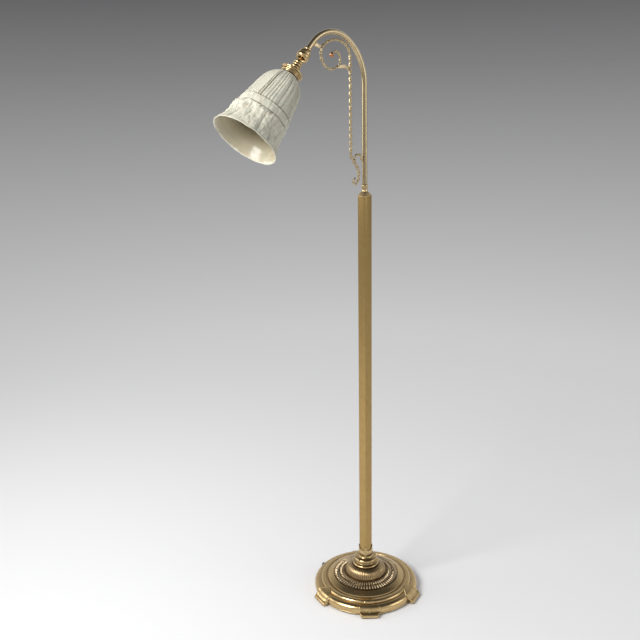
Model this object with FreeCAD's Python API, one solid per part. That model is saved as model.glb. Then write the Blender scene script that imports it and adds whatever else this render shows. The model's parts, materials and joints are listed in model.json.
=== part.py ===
import FreeCAD, Part
import math
import os
from FreeCAD import Vector

# Bridge floor lamp: a square brass column on a round stepped base with four feet, and a
# swivelling crook arm that carries a scroll, a ball joint and a bell shade.
# Millimetres. +Z is up. The lamp is drawn about the column's axis, with z 0 on the floor, and
# then moved so that the origin is the middle of its footprint. The arm points along -X. In the
# arm's own plane a place is (u, z): u is the distance from the column's axis. Along the arm's
# end a place is (r, s): s is the distance past the end of the tube, and r is the radius about
# the end's axis.

# Column's axis, from the middle of the footprint
AXIS_X = 138.85
AXIS_Y = 4.27

# Base: radii and heights
BASE_R = 144.5
BASE_LIFT = 3.0
OVOLO_R = 13.5
OVOLO_Z = 14.0
STEP_R = 126.5
STEP_Z = 27.5
TORUS_R = 7.5
FILLET_R = 112.0
FILLET_Z = 35.0
SEAT_RIM_R = 107.0
SEAT_RIM_Z = 37.0
DISC_R = 89.0
DISC_Z = 41.5
CAVITY_R = 137.0

# Reeded disc
REED_COUNT = 68
REED_DEPTH = 1.9
LAND_R = 59.0
LAND_Z = 52.0

# Dome, rings and cushion under the column
DOME_R = 56.7
DOME_TOP_R = 38.5
DOME_TOP_Z = 75.5
DOME_WALL = 2.5
DOME_EDGE_Z = 54.0
DOME_BULGE = 4.3
RING_TOP_Z = 86.0
CUSHION_TOP_Z = 104.0

# Feet
FOOT_ANGLES = (49.0, 169.0, 229.0, 289.0)
TOE_R = 6.0
TOE_AT = 151.2
TOE_Z = 7.1
TOE_LENGTH = 48.0
LUG_TIP_R = 118.0
LUG_TIP_HALF = 4.5
LUG_SHOULDER_R = 141.0
LUG_HALF = 29.0
LUG_RIM = 3.0
LUG_SINK = 1.3
PAD_HEIGHT = 1.5

# Column
COLUMN_SIDE = 25.0
COLUMN_WALL = 1.5
COLUMN_CORNER = 1.5
COLUMN_FOOT_Z = 106.0
COLUMN_TOP_Z = 1112.5
SOCKET_SIDE = 28.0
SOCKET_DIP_Z = 118.0
SOCKET_TIP_Z = 133.0
CAP_TOP_Z = 1122.5
CAP_TOP_SIDE = 14.6
CAP_PLUG = 14.0
WASHER_H = 0.8

# Threaded tubes and the screws
NIPPLE_R = 5.0
NIPPLE_BORE = 3.5
ROD_CLEARANCE = 0.3
SWIVEL_CLEARANCE = 0.05

# Arm: tube and crook
TUBE_R = 6.5
TUBE_BORE = 5.5
COLLAR_TOP_Z = 1141.0
TUBE_FOOT_Z = 1136.0
SPRING_Z = 1378.0
CROOK_R1 = 125.0
CROOK_TURN1 = 59.0
CROOK_R2 = 85.0
END_DROP = 45.0
END_RUN = 20.0

# Scroll of twisted flat bar, in (u, z)
BAR_U = 46.8
BAR_WIDE = 8.0
BAR_THICK = 5.2
BAR_FOOT_Z = 1216.0
BAR_PITCH = 32.8
SECTIONS_PER_TURN = 12
FOOT_S = [(31.6, 1160.0), (39.4, 1153.5), (31.7, 1144.5), (22.0, 1156.6), (22.0, 1178.5), (38.0, 1201.5)]
FOOT_CURL = [(35.5, 1197.0), (34.5, 1207.0), (26.0, 1216.0), (15.0, 1213.0), (10.5, 1203.5), (4.0, 1194.0)]
VOLUTE = [(BAR_U, 1441), (94.4, 1480.4), (138.6, 1450), (106, 1416), (79, 1437), (94, 1455.4), (105.5, 1447)]
BERRY_R = 5.6
LEAF_THICK = 3.0

# Ball joint, along the arm's end axis
CUP_R = 15.2
CUP_LIP_S = 27.0
CUP_FLOOR_S = 7.4
SEAT_R = 12.4
BALL_R = 9.0
BALL_S = 16.0
BALL_GAP = 0.3
STEM_R = 4.6
NECK_TOP_S = 36.0
GALLERY_TOP_S = 61.5
GALLERY_FOOT_S = 79.4
GALLERY_BORE = 20.4

# Shade, along the same axis
SHADE_TOP_S = 63.6
SHADE_RIM_S = 263.5
SHADE_NECK_R = 20.3
SHADE_RIM_R = 80.6
SHADE_WALL = 3.2
BELT_TOP_S = 176.5
BELT_FOOT_S = 199.0

Z = Vector(0, 0, 1)


def vec(x, y, z):
    return Vector(x, y, z)


def edge(a, b):
    return Part.LineSegment(a, b).toShape()


def arc(a, m, b):
    return Part.Arc(a, m, b).toShape()


def outline(points):
    """Edges of a closed outline in the XZ plane. A point is (x, z), or (x, z, bulge), where
    bulge is the sagitta of the arc from this point to the next, to the right of travel."""
    edges = []
    for i, start in enumerate(points):
        end = points[(i + 1) % len(points)]
        a = vec(start[0], 0, start[1])
        b = vec(end[0], 0, end[1])
        bulge = start[2] if len(start) > 2 else 0.0
        if bulge:
            chord = b - a
            right = vec(chord.z, 0, -chord.x).normalize()
            edges.append(arc(a, (a + b) * 0.5 + right * bulge, b))
        else:
            edges.append(edge(a, b))
    return edges


def face(points):
    return Part.Face(Part.Wire(outline(points)))


def turned(points):
    """A solid turned about Z from a closed (r, z) outline."""
    return face(points).revolve(vec(0, 0, 0), Z, 360)


def extruded_y(points, width):
    """A flat outline in the XZ plane, made width thick and centred on it."""
    flat = face(points)
    flat.translate(vec(0, -width / 2, 0))
    return flat.extrude(vec(0, width, 0))


def cylinder(radius, z0, z1, x=0.0, y=0.0):
    return Part.makeCylinder(radius, z1 - z0, vec(x, y, z0), Z)


def ring(outer, inner, z0, z1):
    return cylinder(outer, z0, z1).cut(cylinder(inner, z0, z1))


def square_bar(side, z0, z1, corner=0.0):
    bar = Part.makeBox(side, side, z1 - z0, vec(-side / 2, -side / 2, z0))
    if corner:
        upright = [e for e in bar.Edges if abs(e.BoundBox.ZLength - (z1 - z0)) < 0.01]
        bar = bar.makeFillet(corner, upright)
    return bar


def hexagon(across, z0, z1, bore):
    radius = across / math.sqrt(3)
    corners = [vec(radius * math.cos(math.radians(60 * k)), radius * math.sin(math.radians(60 * k)), z0)
               for k in range(7)]
    return Part.Face(Part.makePolygon(corners)).extrude(vec(0, 0, z1 - z0)).cut(cylinder(bore, z0, z1))


def around(shape, angle):
    """A copy of a shape that was made at +X, turned about Z."""
    copy = shape.copy()
    copy.rotate(vec(0, 0, 0), Z, angle)
    return copy


def largest(shape):
    return max(shape.Solids, key=lambda s: s.Volume)


def group(shapes):
    return Part.makeCompound([s for shape in shapes for s in shape.Solids])


# ---------------------------------------------------------------- base

def base_outer():
    """Outer form of the base casting, solid: a bead, an ovolo, a torus step, a groove and a cavetto."""
    bead_top = 7.25
    ovolo_low = 30.0
    low = vec(BASE_R - OVOLO_R + OVOLO_R * math.cos(math.radians(ovolo_low)), 0,
              OVOLO_Z - OVOLO_R * math.sin(math.radians(ovolo_low)))
    ovolo_mid = vec(BASE_R - OVOLO_R + OVOLO_R * math.cos(math.radians(30)), 0,
                    OVOLO_Z + OVOLO_R * math.sin(math.radians(30)))
    ovolo_top = vec(BASE_R - OVOLO_R, 0, OVOLO_Z + OVOLO_R)
    torus_mid = vec(STEP_R - TORUS_R + TORUS_R * math.cos(math.radians(45)), 0,
                    STEP_Z + TORUS_R * math.sin(math.radians(45)))
    torus_top = vec(STEP_R - TORUS_R, 0, STEP_Z + TORUS_R)
    groove = 1.8
    edges = [
        edge(vec(0, 0, BASE_LIFT), vec(141, 0, BASE_LIFT)),
        arc(vec(141, 0, BASE_LIFT), vec(142.8, 0, 5.1), vec(141, 0, bead_top)),
        edge(vec(141, 0, bead_top), low),
        arc(low, ovolo_mid, ovolo_top),
        edge(ovolo_top, vec(STEP_R, 0, STEP_Z)),
        arc(vec(STEP_R, 0, STEP_Z), torus_mid, torus_top),
        edge(torus_top, vec(FILLET_R, 0, FILLET_Z)),
        edge(vec(FILLET_R, 0, FILLET_Z), vec(FILLET_R - 0.8, 0, FILLET_Z - groove)),
        edge(vec(FILLET_R - 0.8, 0, FILLET_Z - groove), vec(SEAT_RIM_R + 1.4, 0, FILLET_Z - groove)),
        edge(vec(SEAT_RIM_R + 1.4, 0, FILLET_Z - groove), vec(SEAT_RIM_R, 0, SEAT_RIM_Z)),
        arc(vec(SEAT_RIM_R, 0, SEAT_RIM_Z), vec(98.5, 0, 38.9), vec(DISC_R + 1.5, 0, DISC_Z + 2.0)),
        edge(vec(DISC_R + 1.5, 0, DISC_Z + 2.0), vec(DISC_R + 1.0, 0, DISC_Z)),
        edge(vec(DISC_R + 1.0, 0, DISC_Z), vec(0, 0, DISC_Z)),
        edge(vec(0, 0, DISC_Z), vec(0, 0, BASE_LIFT)),
    ]
    return Part.Face(Part.Wire(edges)).revolve(vec(0, 0, 0), Z, 360)


def base_cavity():
    return turned([(0, BASE_LIFT), (CAVITY_R, BASE_LIFT), (CAVITY_R, 19), (122, 24),
                   (112, 29.5), (88, 38), (0, 38)])


def rod_bore(z0, z1):
    return cylinder(NIPPLE_R + ROD_CLEARANCE, z0, z1)


def make_reeded_disc():
    """Cast disc with two rows of gadroons: the wedge between each two reeds is cut away."""
    disc = turned([(0, DISC_Z), (DISC_R, DISC_Z), (DISC_R, 45.2), (86.5, 47.2), (75.5, 50.0),
                   (74.5, 48.6), (73.5, 50.2), (62.0, 53.2), (LAND_R, LAND_Z), (0, LAND_Z)])
    step = 360.0 / REED_COUNT
    slope = math.degrees(math.atan2(3.4, 13.0))
    disc = disc.cut(group(wedge_row(81.5, 48.2, 15.0, slope, step) + wedge_row(67.5, 51.3, 12.2, slope, step)))
    return disc.cut(rod_bore(DISC_Z, LAND_Z))


def wedge_row(radius, z, length, slope, step):
    """Triangular cutters that lie along the disc's slope, one per reed."""
    half = math.pi * radius / REED_COUNT * 0.42
    top = 3.0
    corners = [vec(0, 0, -REED_DEPTH), vec(0, half * (1 + top / REED_DEPTH), top),
               vec(0, -half * (1 + top / REED_DEPTH), top), vec(0, 0, -REED_DEPTH)]
    cutter = Part.Face(Part.makePolygon(corners)).extrude(vec(length, 0, 0))
    cutter.translate(vec(-length / 2, 0, 0))
    cutter.rotate(vec(0, 0, 0), vec(0, 1, 0), slope)
    cutter.translate(vec(radius, 0, z))
    return [around(cutter, (k + 0.5) * step) for k in range(REED_COUNT)]


def make_fluted_dome():
    """Spun bell on the disc's land, open underneath, with a hole for the tie rod."""
    outer = turned([(0, LAND_Z), (DOME_R, LAND_Z), (DOME_R, DOME_EDGE_Z, DOME_BULGE),
                    (DOME_TOP_R, DOME_TOP_Z), (0, DOME_TOP_Z)])
    inner_r = DOME_R - DOME_WALL
    inner = turned([(0, LAND_Z), (inner_r, LAND_Z), (inner_r, DOME_EDGE_Z - 0.6, DOME_BULGE),
                    (DOME_TOP_R - DOME_WALL, DOME_TOP_Z - DOME_WALL), (0, DOME_TOP_Z - DOME_WALL)])
    dome = outer.cut(inner)
    flutes = []
    count = 36
    for k in range(count):
        flute = Part.makeCylinder(1.5, 13.0, vec(DOME_R - 0.2, 0, 54.5), vec(-0.33, 0, 1))
        flutes.append(around(flute, 360.0 / count * k))
    return dome.cut(group(flutes)).cut(rod_bore(LAND_Z, DOME_TOP_Z))


def make_column_ring():
    ring_solid = turned([(0, DOME_TOP_Z), (DOME_TOP_R - 4.5, DOME_TOP_Z), (DOME_TOP_R - 4.5, 76.4, 3.2),
                         (DOME_TOP_R - 4.5, 82.8), (31.0, 83.4, -0.9), (29.5, RING_TOP_Z), (0, RING_TOP_Z)])
    return ring_solid.cut(rod_bore(DOME_TOP_Z, RING_TOP_Z))


def make_cushion():
    cushion = turned([(0, RING_TOP_Z), (29.5, RING_TOP_Z), (28.0, 88.4), (28.0, 89.4, 4.0), (28.5, 97.6),
                      (26.0, 98.6, -1.6), (19.5, 102.4), (19.0, CUSHION_TOP_Z), (0, CUSHION_TOP_Z)])
    return cushion.cut(rod_bore(RING_TOP_Z, CUSHION_TOP_Z))


def make_column_socket():
    """Square sleeve whose four sides dip in a U between raised corners, with a rounded rim."""
    sleeve = square_bar(SOCKET_SIDE, CUSHION_TOP_Z, SOCKET_TIP_Z, 1.8)
    dip = 11.2
    centre = SOCKET_DIP_Z + dip
    for angle in (0, 90):
        cutter = Part.makeCylinder(dip, 60, vec(-30, 0, centre), vec(1, 0, 0))
        cutter = cutter.fuse(Part.makeBox(60, 2 * dip, 30, vec(-30, -dip, centre)))
        sleeve = sleeve.cut(around(cutter, angle))
    sleeve = sleeve.fuse(square_bar(SOCKET_SIDE + 2.0, CUSHION_TOP_Z, CUSHION_TOP_Z + 3.0, 2.2))
    sleeve = sleeve.cut(square_bar(COLUMN_SIDE, COLUMN_FOOT_Z, SOCKET_TIP_Z + 1, COLUMN_CORNER))
    return sleeve.cut(rod_bore(CUSHION_TOP_Z, COLUMN_FOOT_Z))


def lug_outline(drop):
    """Section of a foot's lug, turned about the column: from the torus down to the toe, with the
    face set drop below the edge."""
    return [(126, 22), (139, 4.5), (TOE_AT, 4.5), (TOE_AT + 1.5, 13.0), (146.9 - drop, 17.5 - 0.4 * drop, 2.5),
            (134.0 - 0.3 * drop, 29.4 - drop), (127.0 - 0.6 * drop, 33.2 - drop, 0.5), (LUG_TIP_R, 36.2 - drop),
            (LUG_TIP_R, 30)]


def lug_plan(inset, z0, z1):
    """Plan of a lug: nearly pointed on the torus, full width over the ovolo, narrower at the toe."""
    side = [(LUG_TIP_R - 1, LUG_TIP_HALF), (LUG_SHOULDER_R, LUG_HALF), (LUG_SHOULDER_R + 7, LUG_HALF),
            (TOE_AT + TOE_R, TOE_LENGTH / 2 - 2)]
    right = [vec(r, -(half - inset), z0) for r, half in side]
    left = [vec(r, half - inset, z0) for r, half in reversed(side)]
    return Part.Face(Part.makePolygon(right + left + right[:1])).extrude(vec(0, 0, z1 - z0))


def make_foot(shell_form):
    """One foot at +X: a rolled toe and a lug with raised edges that hugs the moulding."""
    roll = Part.makeCylinder(TOE_R, TOE_LENGTH, vec(TOE_AT, -TOE_LENGTH / 2, TOE_Z), vec(0, 1, 0))
    roll = roll.makeFillet(2.2, [e for e in roll.Edges if e.Curve.TypeId == "Part::GeomCircle"])
    panel = turned(lug_outline(LUG_SINK)).common(lug_plan(0.0, 0, 60))
    rims = turned(lug_outline(0.0)).common(lug_plan(0.0, 0, 60))
    rims = rims.cut(lug_plan(LUG_RIM, -1, 61))
    ground = Part.makeBox(400, 400, 100, vec(-200, -200, PAD_HEIGHT - 100))
    return largest(roll.fuse(panel).fuse(rims).cut(ground).cut(shell_form))


def foot_screw():
    """Pan-head screw at +X, driven from inside through the shell into the foot."""
    head_h = 3.0
    reach = 10.5
    z = 12.5
    head = Part.makeCylinder(4.2, head_h, vec(CAVITY_R - head_h, 0, z), vec(1, 0, 0))
    shank = Part.makeCylinder(2.0, reach, vec(CAVITY_R, 0, z), vec(1, 0, 0))
    return head.fuse(shank)


def make_base(parts):
    form = base_outer()
    shell = form.cut(base_cavity()).cut(rod_bore(30, 45))
    screw = foot_screw()
    foot = make_foot(form).cut(screw)
    for number, angle in enumerate(FOOT_ANGLES, 1):
        parts["foot_%d" % number] = around(foot, angle)
    screws = group([around(screw, angle) for angle in FOOT_ANGLES])
    parts["foot_screws"] = screws
    pad = Part.makeBox(5.6, 38.0, PAD_HEIGHT, vec(TOE_AT - 2.8, -19.0, 0))
    parts["foot_pads"] = group([around(pad, angle) for angle in FOOT_ANGLES])

    bush, hole = make_cord_bush()
    parts["cord_bush"] = bush
    parts["base_shell"] = largest(shell.cut(screws).cut(hole))
    parts["reeded_disc"] = make_reeded_disc()
    parts["fluted_dome"] = make_fluted_dome()
    parts["column_ring"] = make_column_ring()
    parts["cushion_ring"] = make_cushion()
    parts["column_socket"] = make_column_socket()


def make_cord_bush():
    """Black bush for the flex, through the side wall between two feet, and the hole it fills."""
    angle = 101.5
    z = 12.0
    bore = 3.5
    flange = Part.makeCylinder(6.0, 5.5, vec(BASE_R - 0.6, 0, z), vec(1, 0, 0))
    flange = flange.makeFillet(1.6, [e for e in flange.Edges if e.Closed and e.BoundBox.XMin > BASE_R + 3])
    barrel = Part.makeCylinder(4.5, 12.0, vec(CAVITY_R - 4.0, 0, z), vec(1, 0, 0))
    back = Part.makeCylinder(6.0, 2.0, vec(CAVITY_R - 2.0, 0, z), vec(1, 0, 0))
    way = Part.makeCylinder(bore, 40.0, vec(CAVITY_R - 20, 0, z), vec(1, 0, 0))
    hole = Part.makeCylinder(4.5, 20.0, vec(CAVITY_R - 8, 0, z), vec(1, 0, 0))
    bush = barrel.fuse([flange, back])
    seat = Part.makeCylinder(6.0, 20.0, vec(BASE_R - 0.6, 0, z), vec(1, 0, 0))
    return around(bush.cut(way), angle), around(hole.fuse([seat, back]), angle)


# ---------------------------------------------------------------- ballast and fixings

def make_ballast(parts):
    plate_z = BASE_LIFT
    plate_h = 1.2
    boss_at = 95.0
    weight = turned([(0, 12), (118, 12), (120, 14), (120, 19), (112, 24), (96, 30), (60, 30), (36, 38), (0, 38)])
    counterbore = cylinder(15, 12, 20)
    weight = weight.cut(counterbore).cut(rod_bore(10, 40))
    screws = []
    for k in range(3):
        angle = 120.0 * k + 20.0
        boss = cylinder(8, plate_z + plate_h, 12, boss_at)
        shank = cylinder(2.0, plate_z, 11, boss_at)
        head = cylinder(4.0, plate_z - 1.6, plate_z, boss_at)
        weight = weight.fuse(around(boss, angle))
        screws.append(around(shank.fuse(head), angle))
    parts["plate_screws"] = group(screws)
    parts["base_weight"] = largest(weight.cut(parts["plate_screws"]))
    plate = cylinder(CAVITY_R, plate_z, plate_z + plate_h)
    parts["base_plate"] = plate.cut(parts["plate_screws"])

    parts["tie_washer"] = ring(13, NIPPLE_R, 18.0, 20.0)
    parts["tie_nut"] = hexagon(17, 10.5, 18.0, NIPPLE_R)
    parts["tie_rod"] = ring(NIPPLE_R, NIPPLE_BORE, 8.0, COLUMN_FOOT_Z + 34)


# ---------------------------------------------------------------- column

def make_column(parts):
    inner = COLUMN_SIDE - 2 * COLUMN_WALL
    tube = square_bar(COLUMN_SIDE, COLUMN_FOOT_Z, COLUMN_TOP_Z, COLUMN_CORNER)
    parts["column_tube"] = tube.cut(square_bar(inner, COLUMN_FOOT_Z, COLUMN_TOP_Z))
    foot_plug = square_bar(inner, COLUMN_FOOT_Z, COLUMN_FOOT_Z + 30)
    parts["column_foot_plug"] = foot_plug.cut(cylinder(NIPPLE_R, COLUMN_FOOT_Z, COLUMN_FOOT_Z + 30))
    parts["column_cap"] = make_cap(inner)
    parts["swivel_washer"] = ring(7.1, NIPPLE_R + SWIVEL_CLEARANCE, CAP_TOP_Z, CAP_TOP_Z + WASHER_H)


def make_cap(inner):
    """Low pyramid with slightly hollow faces, and a plug that fills the tube."""
    side = COLUMN_SIDE + 0.6
    mid_side = 0.5 * (side + CAP_TOP_SIDE) - 0.9
    mid_z = 0.5 * (COLUMN_TOP_Z + 1.2 + CAP_TOP_Z)
    levels = [(side, COLUMN_TOP_Z), (side, COLUMN_TOP_Z + 1.2), (mid_side, mid_z), (CAP_TOP_SIDE, CAP_TOP_Z)]
    wires = []
    for width, z in levels:
        half = width / 2
        corners = [vec(-half, -half, z), vec(half, -half, z), vec(half, half, z), vec(-half, half, z)]
        wires.append(Part.makePolygon(corners + corners[:1]))
    pyramid = Part.makeLoft(wires, True, True)
    plug = square_bar(inner, COLUMN_TOP_Z - CAP_PLUG, COLUMN_TOP_Z)
    bore = cylinder(NIPPLE_R + SWIVEL_CLEARANCE, COLUMN_TOP_Z - CAP_PLUG, CAP_TOP_Z)
    return pyramid.fuse(plug).cut(bore)


# ---------------------------------------------------------------- arm

def crook_frame():
    """Centres and end points of the two bends of the arm, in (u, z)."""
    turn1 = math.radians(CROOK_TURN1)
    turn2 = math.radians(180.0 - END_DROP)
    joint = (CROOK_R1 * (1 - math.cos(turn1)), SPRING_Z + CROOK_R1 * math.sin(turn1))
    centre2 = (joint[0] + CROOK_R2 * math.cos(turn1), joint[1] - CROOK_R2 * math.sin(turn1))
    bend_end = (centre2[0] - CROOK_R2 * math.cos(turn2), centre2[1] + CROOK_R2 * math.sin(turn2))
    drop = math.radians(END_DROP)
    end = (bend_end[0] + END_RUN * math.sin(drop), bend_end[1] - END_RUN * math.cos(drop))
    return joint, centre2, bend_end, end


def plane(u, z):
    return vec(-u, 0, z)


def crook_path():
    joint, centre2, bend_end, end = crook_frame()
    half1 = math.radians(CROOK_TURN1 / 2)
    mid1 = (CROOK_R1 * (1 - math.cos(half1)), SPRING_Z + CROOK_R1 * math.sin(half1))
    half2 = math.radians((CROOK_TURN1 + 180.0 - END_DROP) / 2)
    mid2 = (centre2[0] - CROOK_R2 * math.cos(half2), centre2[1] + CROOK_R2 * math.sin(half2))
    return Part.Wire([
        edge(plane(0, TUBE_FOOT_Z), plane(0, SPRING_Z)),
        arc(plane(0, SPRING_Z), plane(*mid1), plane(*joint)),
        arc(plane(*joint), plane(*mid2), plane(*bend_end)),
        edge(plane(*bend_end), plane(*end)),
    ])


def make_arm_tube():
    path = crook_path()
    start = plane(0, TUBE_FOOT_Z)
    outer = Part.Face(Part.Wire(Part.makeCircle(TUBE_R, start, Z)))
    inner = Part.Face(Part.Wire(Part.makeCircle(TUBE_BORE, start, Z)))
    return path.makePipe(outer).cut(path.makePipe(inner))


def make_neck_collar():
    """Turned collar: a foot, a waist and a bead, bored for the spigot and the tube's end."""
    foot_z = CAP_TOP_Z + WASHER_H
    collar = turned([(0, foot_z), (7.3, foot_z), (7.9, foot_z + 1.6), (7.4, foot_z + 3.0, -0.5),
                     (7.4, 1134.6), (7.4, 1135.4, 1.3), (7.4, COLLAR_TOP_Z), (0, COLLAR_TOP_Z)])
    collar = collar.cut(cylinder(NIPPLE_R, foot_z, TUBE_FOOT_Z))
    return collar.cut(cylinder(TUBE_R, TUBE_FOOT_Z, COLLAR_TOP_Z))


def make_arm(parts):
    parts["neck_collar"] = make_neck_collar()
    spigot_foot = COLUMN_TOP_Z - CAP_PLUG - 12.0
    parts["swivel_spigot"] = ring(NIPPLE_R, NIPPLE_BORE, spigot_foot, TUBE_FOOT_Z)
    under_cap = COLUMN_TOP_Z - CAP_PLUG
    parts["spigot_washer"] = ring(8.5, NIPPLE_R, under_cap - 1.6, under_cap)
    parts["spigot_nut"] = hexagon(14, under_cap - 8.0, under_cap - 1.6, NIPPLE_R)
    parts["arm_tube"] = make_arm_tube()
    solid_tube = tube_form()
    bar = make_scroll_bar()
    parts["scroll_berry"] = Part.makeSphere(BERRY_R, plane(*VOLUTE[-1]))
    parts["scroll_bar"] = largest(bar.cut(parts["scroll_berry"]))
    parts.update(make_leaves(bar, solid_tube))
    parts["foot_curl"] = make_foot_curl(bar, solid_tube)


def tube_form():
    path = crook_path()
    outer = Part.Face(Part.Wire(Part.makeCircle(TUBE_R, plane(0, TUBE_FOOT_Z), Z)))
    return path.makePipe(outer)


def flat_section(origin, tangent, scale, twist):
    """Oblong wire across a path in the arm's plane, turned by twist about the path."""
    across = tangent.cross(vec(0, 1, 0)).normalize()
    depth = vec(0, 1, 0)
    radius = scale * math.hypot(BAR_WIDE, BAR_THICK) / 2
    lean = math.degrees(math.atan2(BAR_THICK, BAR_WIDE))
    corners = []
    for turn in (lean, 180 - lean, 180 + lean, 360 - lean):
        angle = math.radians(twist + turn)
        corners.append(origin + across * (radius * math.cos(angle)) + depth * (radius * math.sin(angle)))
    return Part.makePolygon(corners + corners[:1])


def foot_curve():
    """Spline for the S at the bar's foot, from the end curl up to the straight bar."""
    curve = Part.BSplineCurve()
    curve.interpolate([plane(*p) for p in FOOT_S + [(BAR_U, BAR_FOOT_Z), (BAR_U, BAR_FOOT_Z + 12)]])
    return curve


def quarter(start, end, turn, fraction):
    """Point on a quarter of an ellipse between two extremes of the volute. An even turn
    leaves its start upright, an odd one leaves it level."""
    angle = math.pi / 2 * fraction
    if turn % 2 == 0:
        return (end[0] - (end[0] - start[0]) * math.cos(angle), start[1] + (end[1] - start[1]) * math.sin(angle))
    return (start[0] + (end[0] - start[0]) * math.sin(angle), end[1] - (end[1] - start[1]) * math.cos(angle))


def scroll_path():
    """Points along the whole bar: the foot's S, the straight length and the oval volute."""
    points = foot_curve().discretize(Number=60)
    straight = 24
    for k in range(1, straight + 1):
        z = BAR_FOOT_Z + 12 + (VOLUTE[0][1] - BAR_FOOT_Z - 12) * k / straight
        points.append(plane(BAR_U, z))
    per_quarter = 12
    for turn in range(len(VOLUTE) - 1):
        for k in range(1, per_quarter + 1):
            points.append(plane(*quarter(VOLUTE[turn], VOLUTE[turn + 1], turn, k / per_quarter)))
    return points


def twisted(curve, taper):
    """Flat bar twisted about its own axis: oblong sections along a curve, each turned a
    little further. taper(k) scales the section, k from 0 to 1."""
    total = curve.length()
    count = int(total / BAR_PITCH * SECTIONS_PER_TURN)
    wires = []
    for k in range(count + 1):
        parameter = curve.parameterAtDistance(total * k / count, curve.FirstParameter)
        twist = 360.0 / SECTIONS_PER_TURN * k
        wires.append(flat_section(curve.value(parameter), curve.tangent(parameter)[0], taper(k / count), twist))
    return Part.makeLoft(wires, True, True)


def make_scroll_bar():
    """One twisted bar along the whole scroll, drawn thinner towards its two ends."""
    curve = Part.BSplineCurve()
    curve.interpolate(scroll_path())
    return twisted(curve, lambda k: min(1.0, 0.72 + 2.8 * k, 0.72 + 1.12 * (1 - k)))


def leaf(points):
    """Flat leaf in the arm's plane, from a closed (u, z) outline with arcs."""
    return extruded_y([(-p[0],) + tuple(p[1:]) for p in points], LEAF_THICK)


def make_leaves(bar, tube):
    """Two small leaves: one ties the volute to the tube, one ties it to the straight bar."""
    upper = leaf([(130, 1462.0, -1.5), (146, 1463.0, -1.0), (165, 1470.0), (162, 1476.0, -1.5), (146, 1470.0, -1.5)])
    lower = leaf([(46, 1410.0, -1.5), (62, 1417.5, -1.0), (84, 1417.5), (82, 1423.0, -1.5), (62, 1424.5, -1.5)])
    return {"upper_leaf": largest(upper.cut([bar, tube])), "lower_leaf": largest(lower.cut(bar))}


def make_foot_curl(bar, tube):
    """Curl that branches off the S, loops back and leans on the tube."""
    curve = Part.BSplineCurve()
    curve.interpolate([plane(*p) for p in FOOT_CURL])
    return largest(twisted(curve, lambda k: 0.8).cut(bar).cut(tube))


# ---------------------------------------------------------------- ball joint and shade

def end_frame(shape):
    """Moves a shape made about Z, with s along +Z, to the arm's end axis."""
    _, _, _, end = crook_frame()
    copy = shape.copy()
    copy.rotate(vec(0, 0, 0), vec(0, 1, 0), 180.0 + END_DROP)
    copy.translate(plane(*end))
    return copy


def make_joint(parts):
    bead = turned([(TUBE_R, -3.4), (7.3, -3.4, 1.5), (7.3, 3.0), (TUBE_BORE, 3.0), (TUBE_BORE, 0), (TUBE_R, 0)])
    parts["arm_end_ring"] = end_frame(bead)
    roll = 1.2
    cup = turned([(0, 3.0), (7.6, 3.0, 2.4), (CUP_R - roll - 0.4, 14.8), (CUP_R - roll, 15.6, roll),
                  (CUP_R - roll, 24.4), (CUP_R - roll - 0.4, CUP_LIP_S), (0, CUP_LIP_S)])
    cup = cup.cut(cylinder(NIPPLE_BORE, 0, 10)).cut(cylinder(SEAT_R, CUP_FLOOR_S, CUP_LIP_S + 1))
    neck = ring(TUBE_BORE, NIPPLE_BORE, -8.0, 3.0)
    parts["joint_cup"] = end_frame(cup.fuse(neck))
    keeper = turned([(8.6, 24.0), (SEAT_R, 24.0), (SEAT_R, 26.4), (9.8, 26.4)])
    parts["cup_keeper"] = end_frame(keeper)

    seat = cylinder(SEAT_R - SWIVEL_CLEARANCE, CUP_FLOOR_S + 0.1, 23.9)
    seat = seat.cut(Part.makeSphere(BALL_R + BALL_GAP, vec(0, 0, BALL_S)))
    seat = seat.cut(cylinder(8.0, BALL_S, 24)).cut(cylinder(5.2, 6, BALL_S))
    parts["ball_seat"] = end_frame(seat)

    ball = Part.makeSphere(BALL_R, vec(0, 0, BALL_S)).cut(cylinder(BALL_R, 0, BALL_S - 6.4))
    stem = cylinder(STEM_R, BALL_S, NECK_TOP_S)
    parts["ball_stem"] = end_frame(ball.fuse(stem).cut(cylinder(3.0, 0, NECK_TOP_S)))


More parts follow.
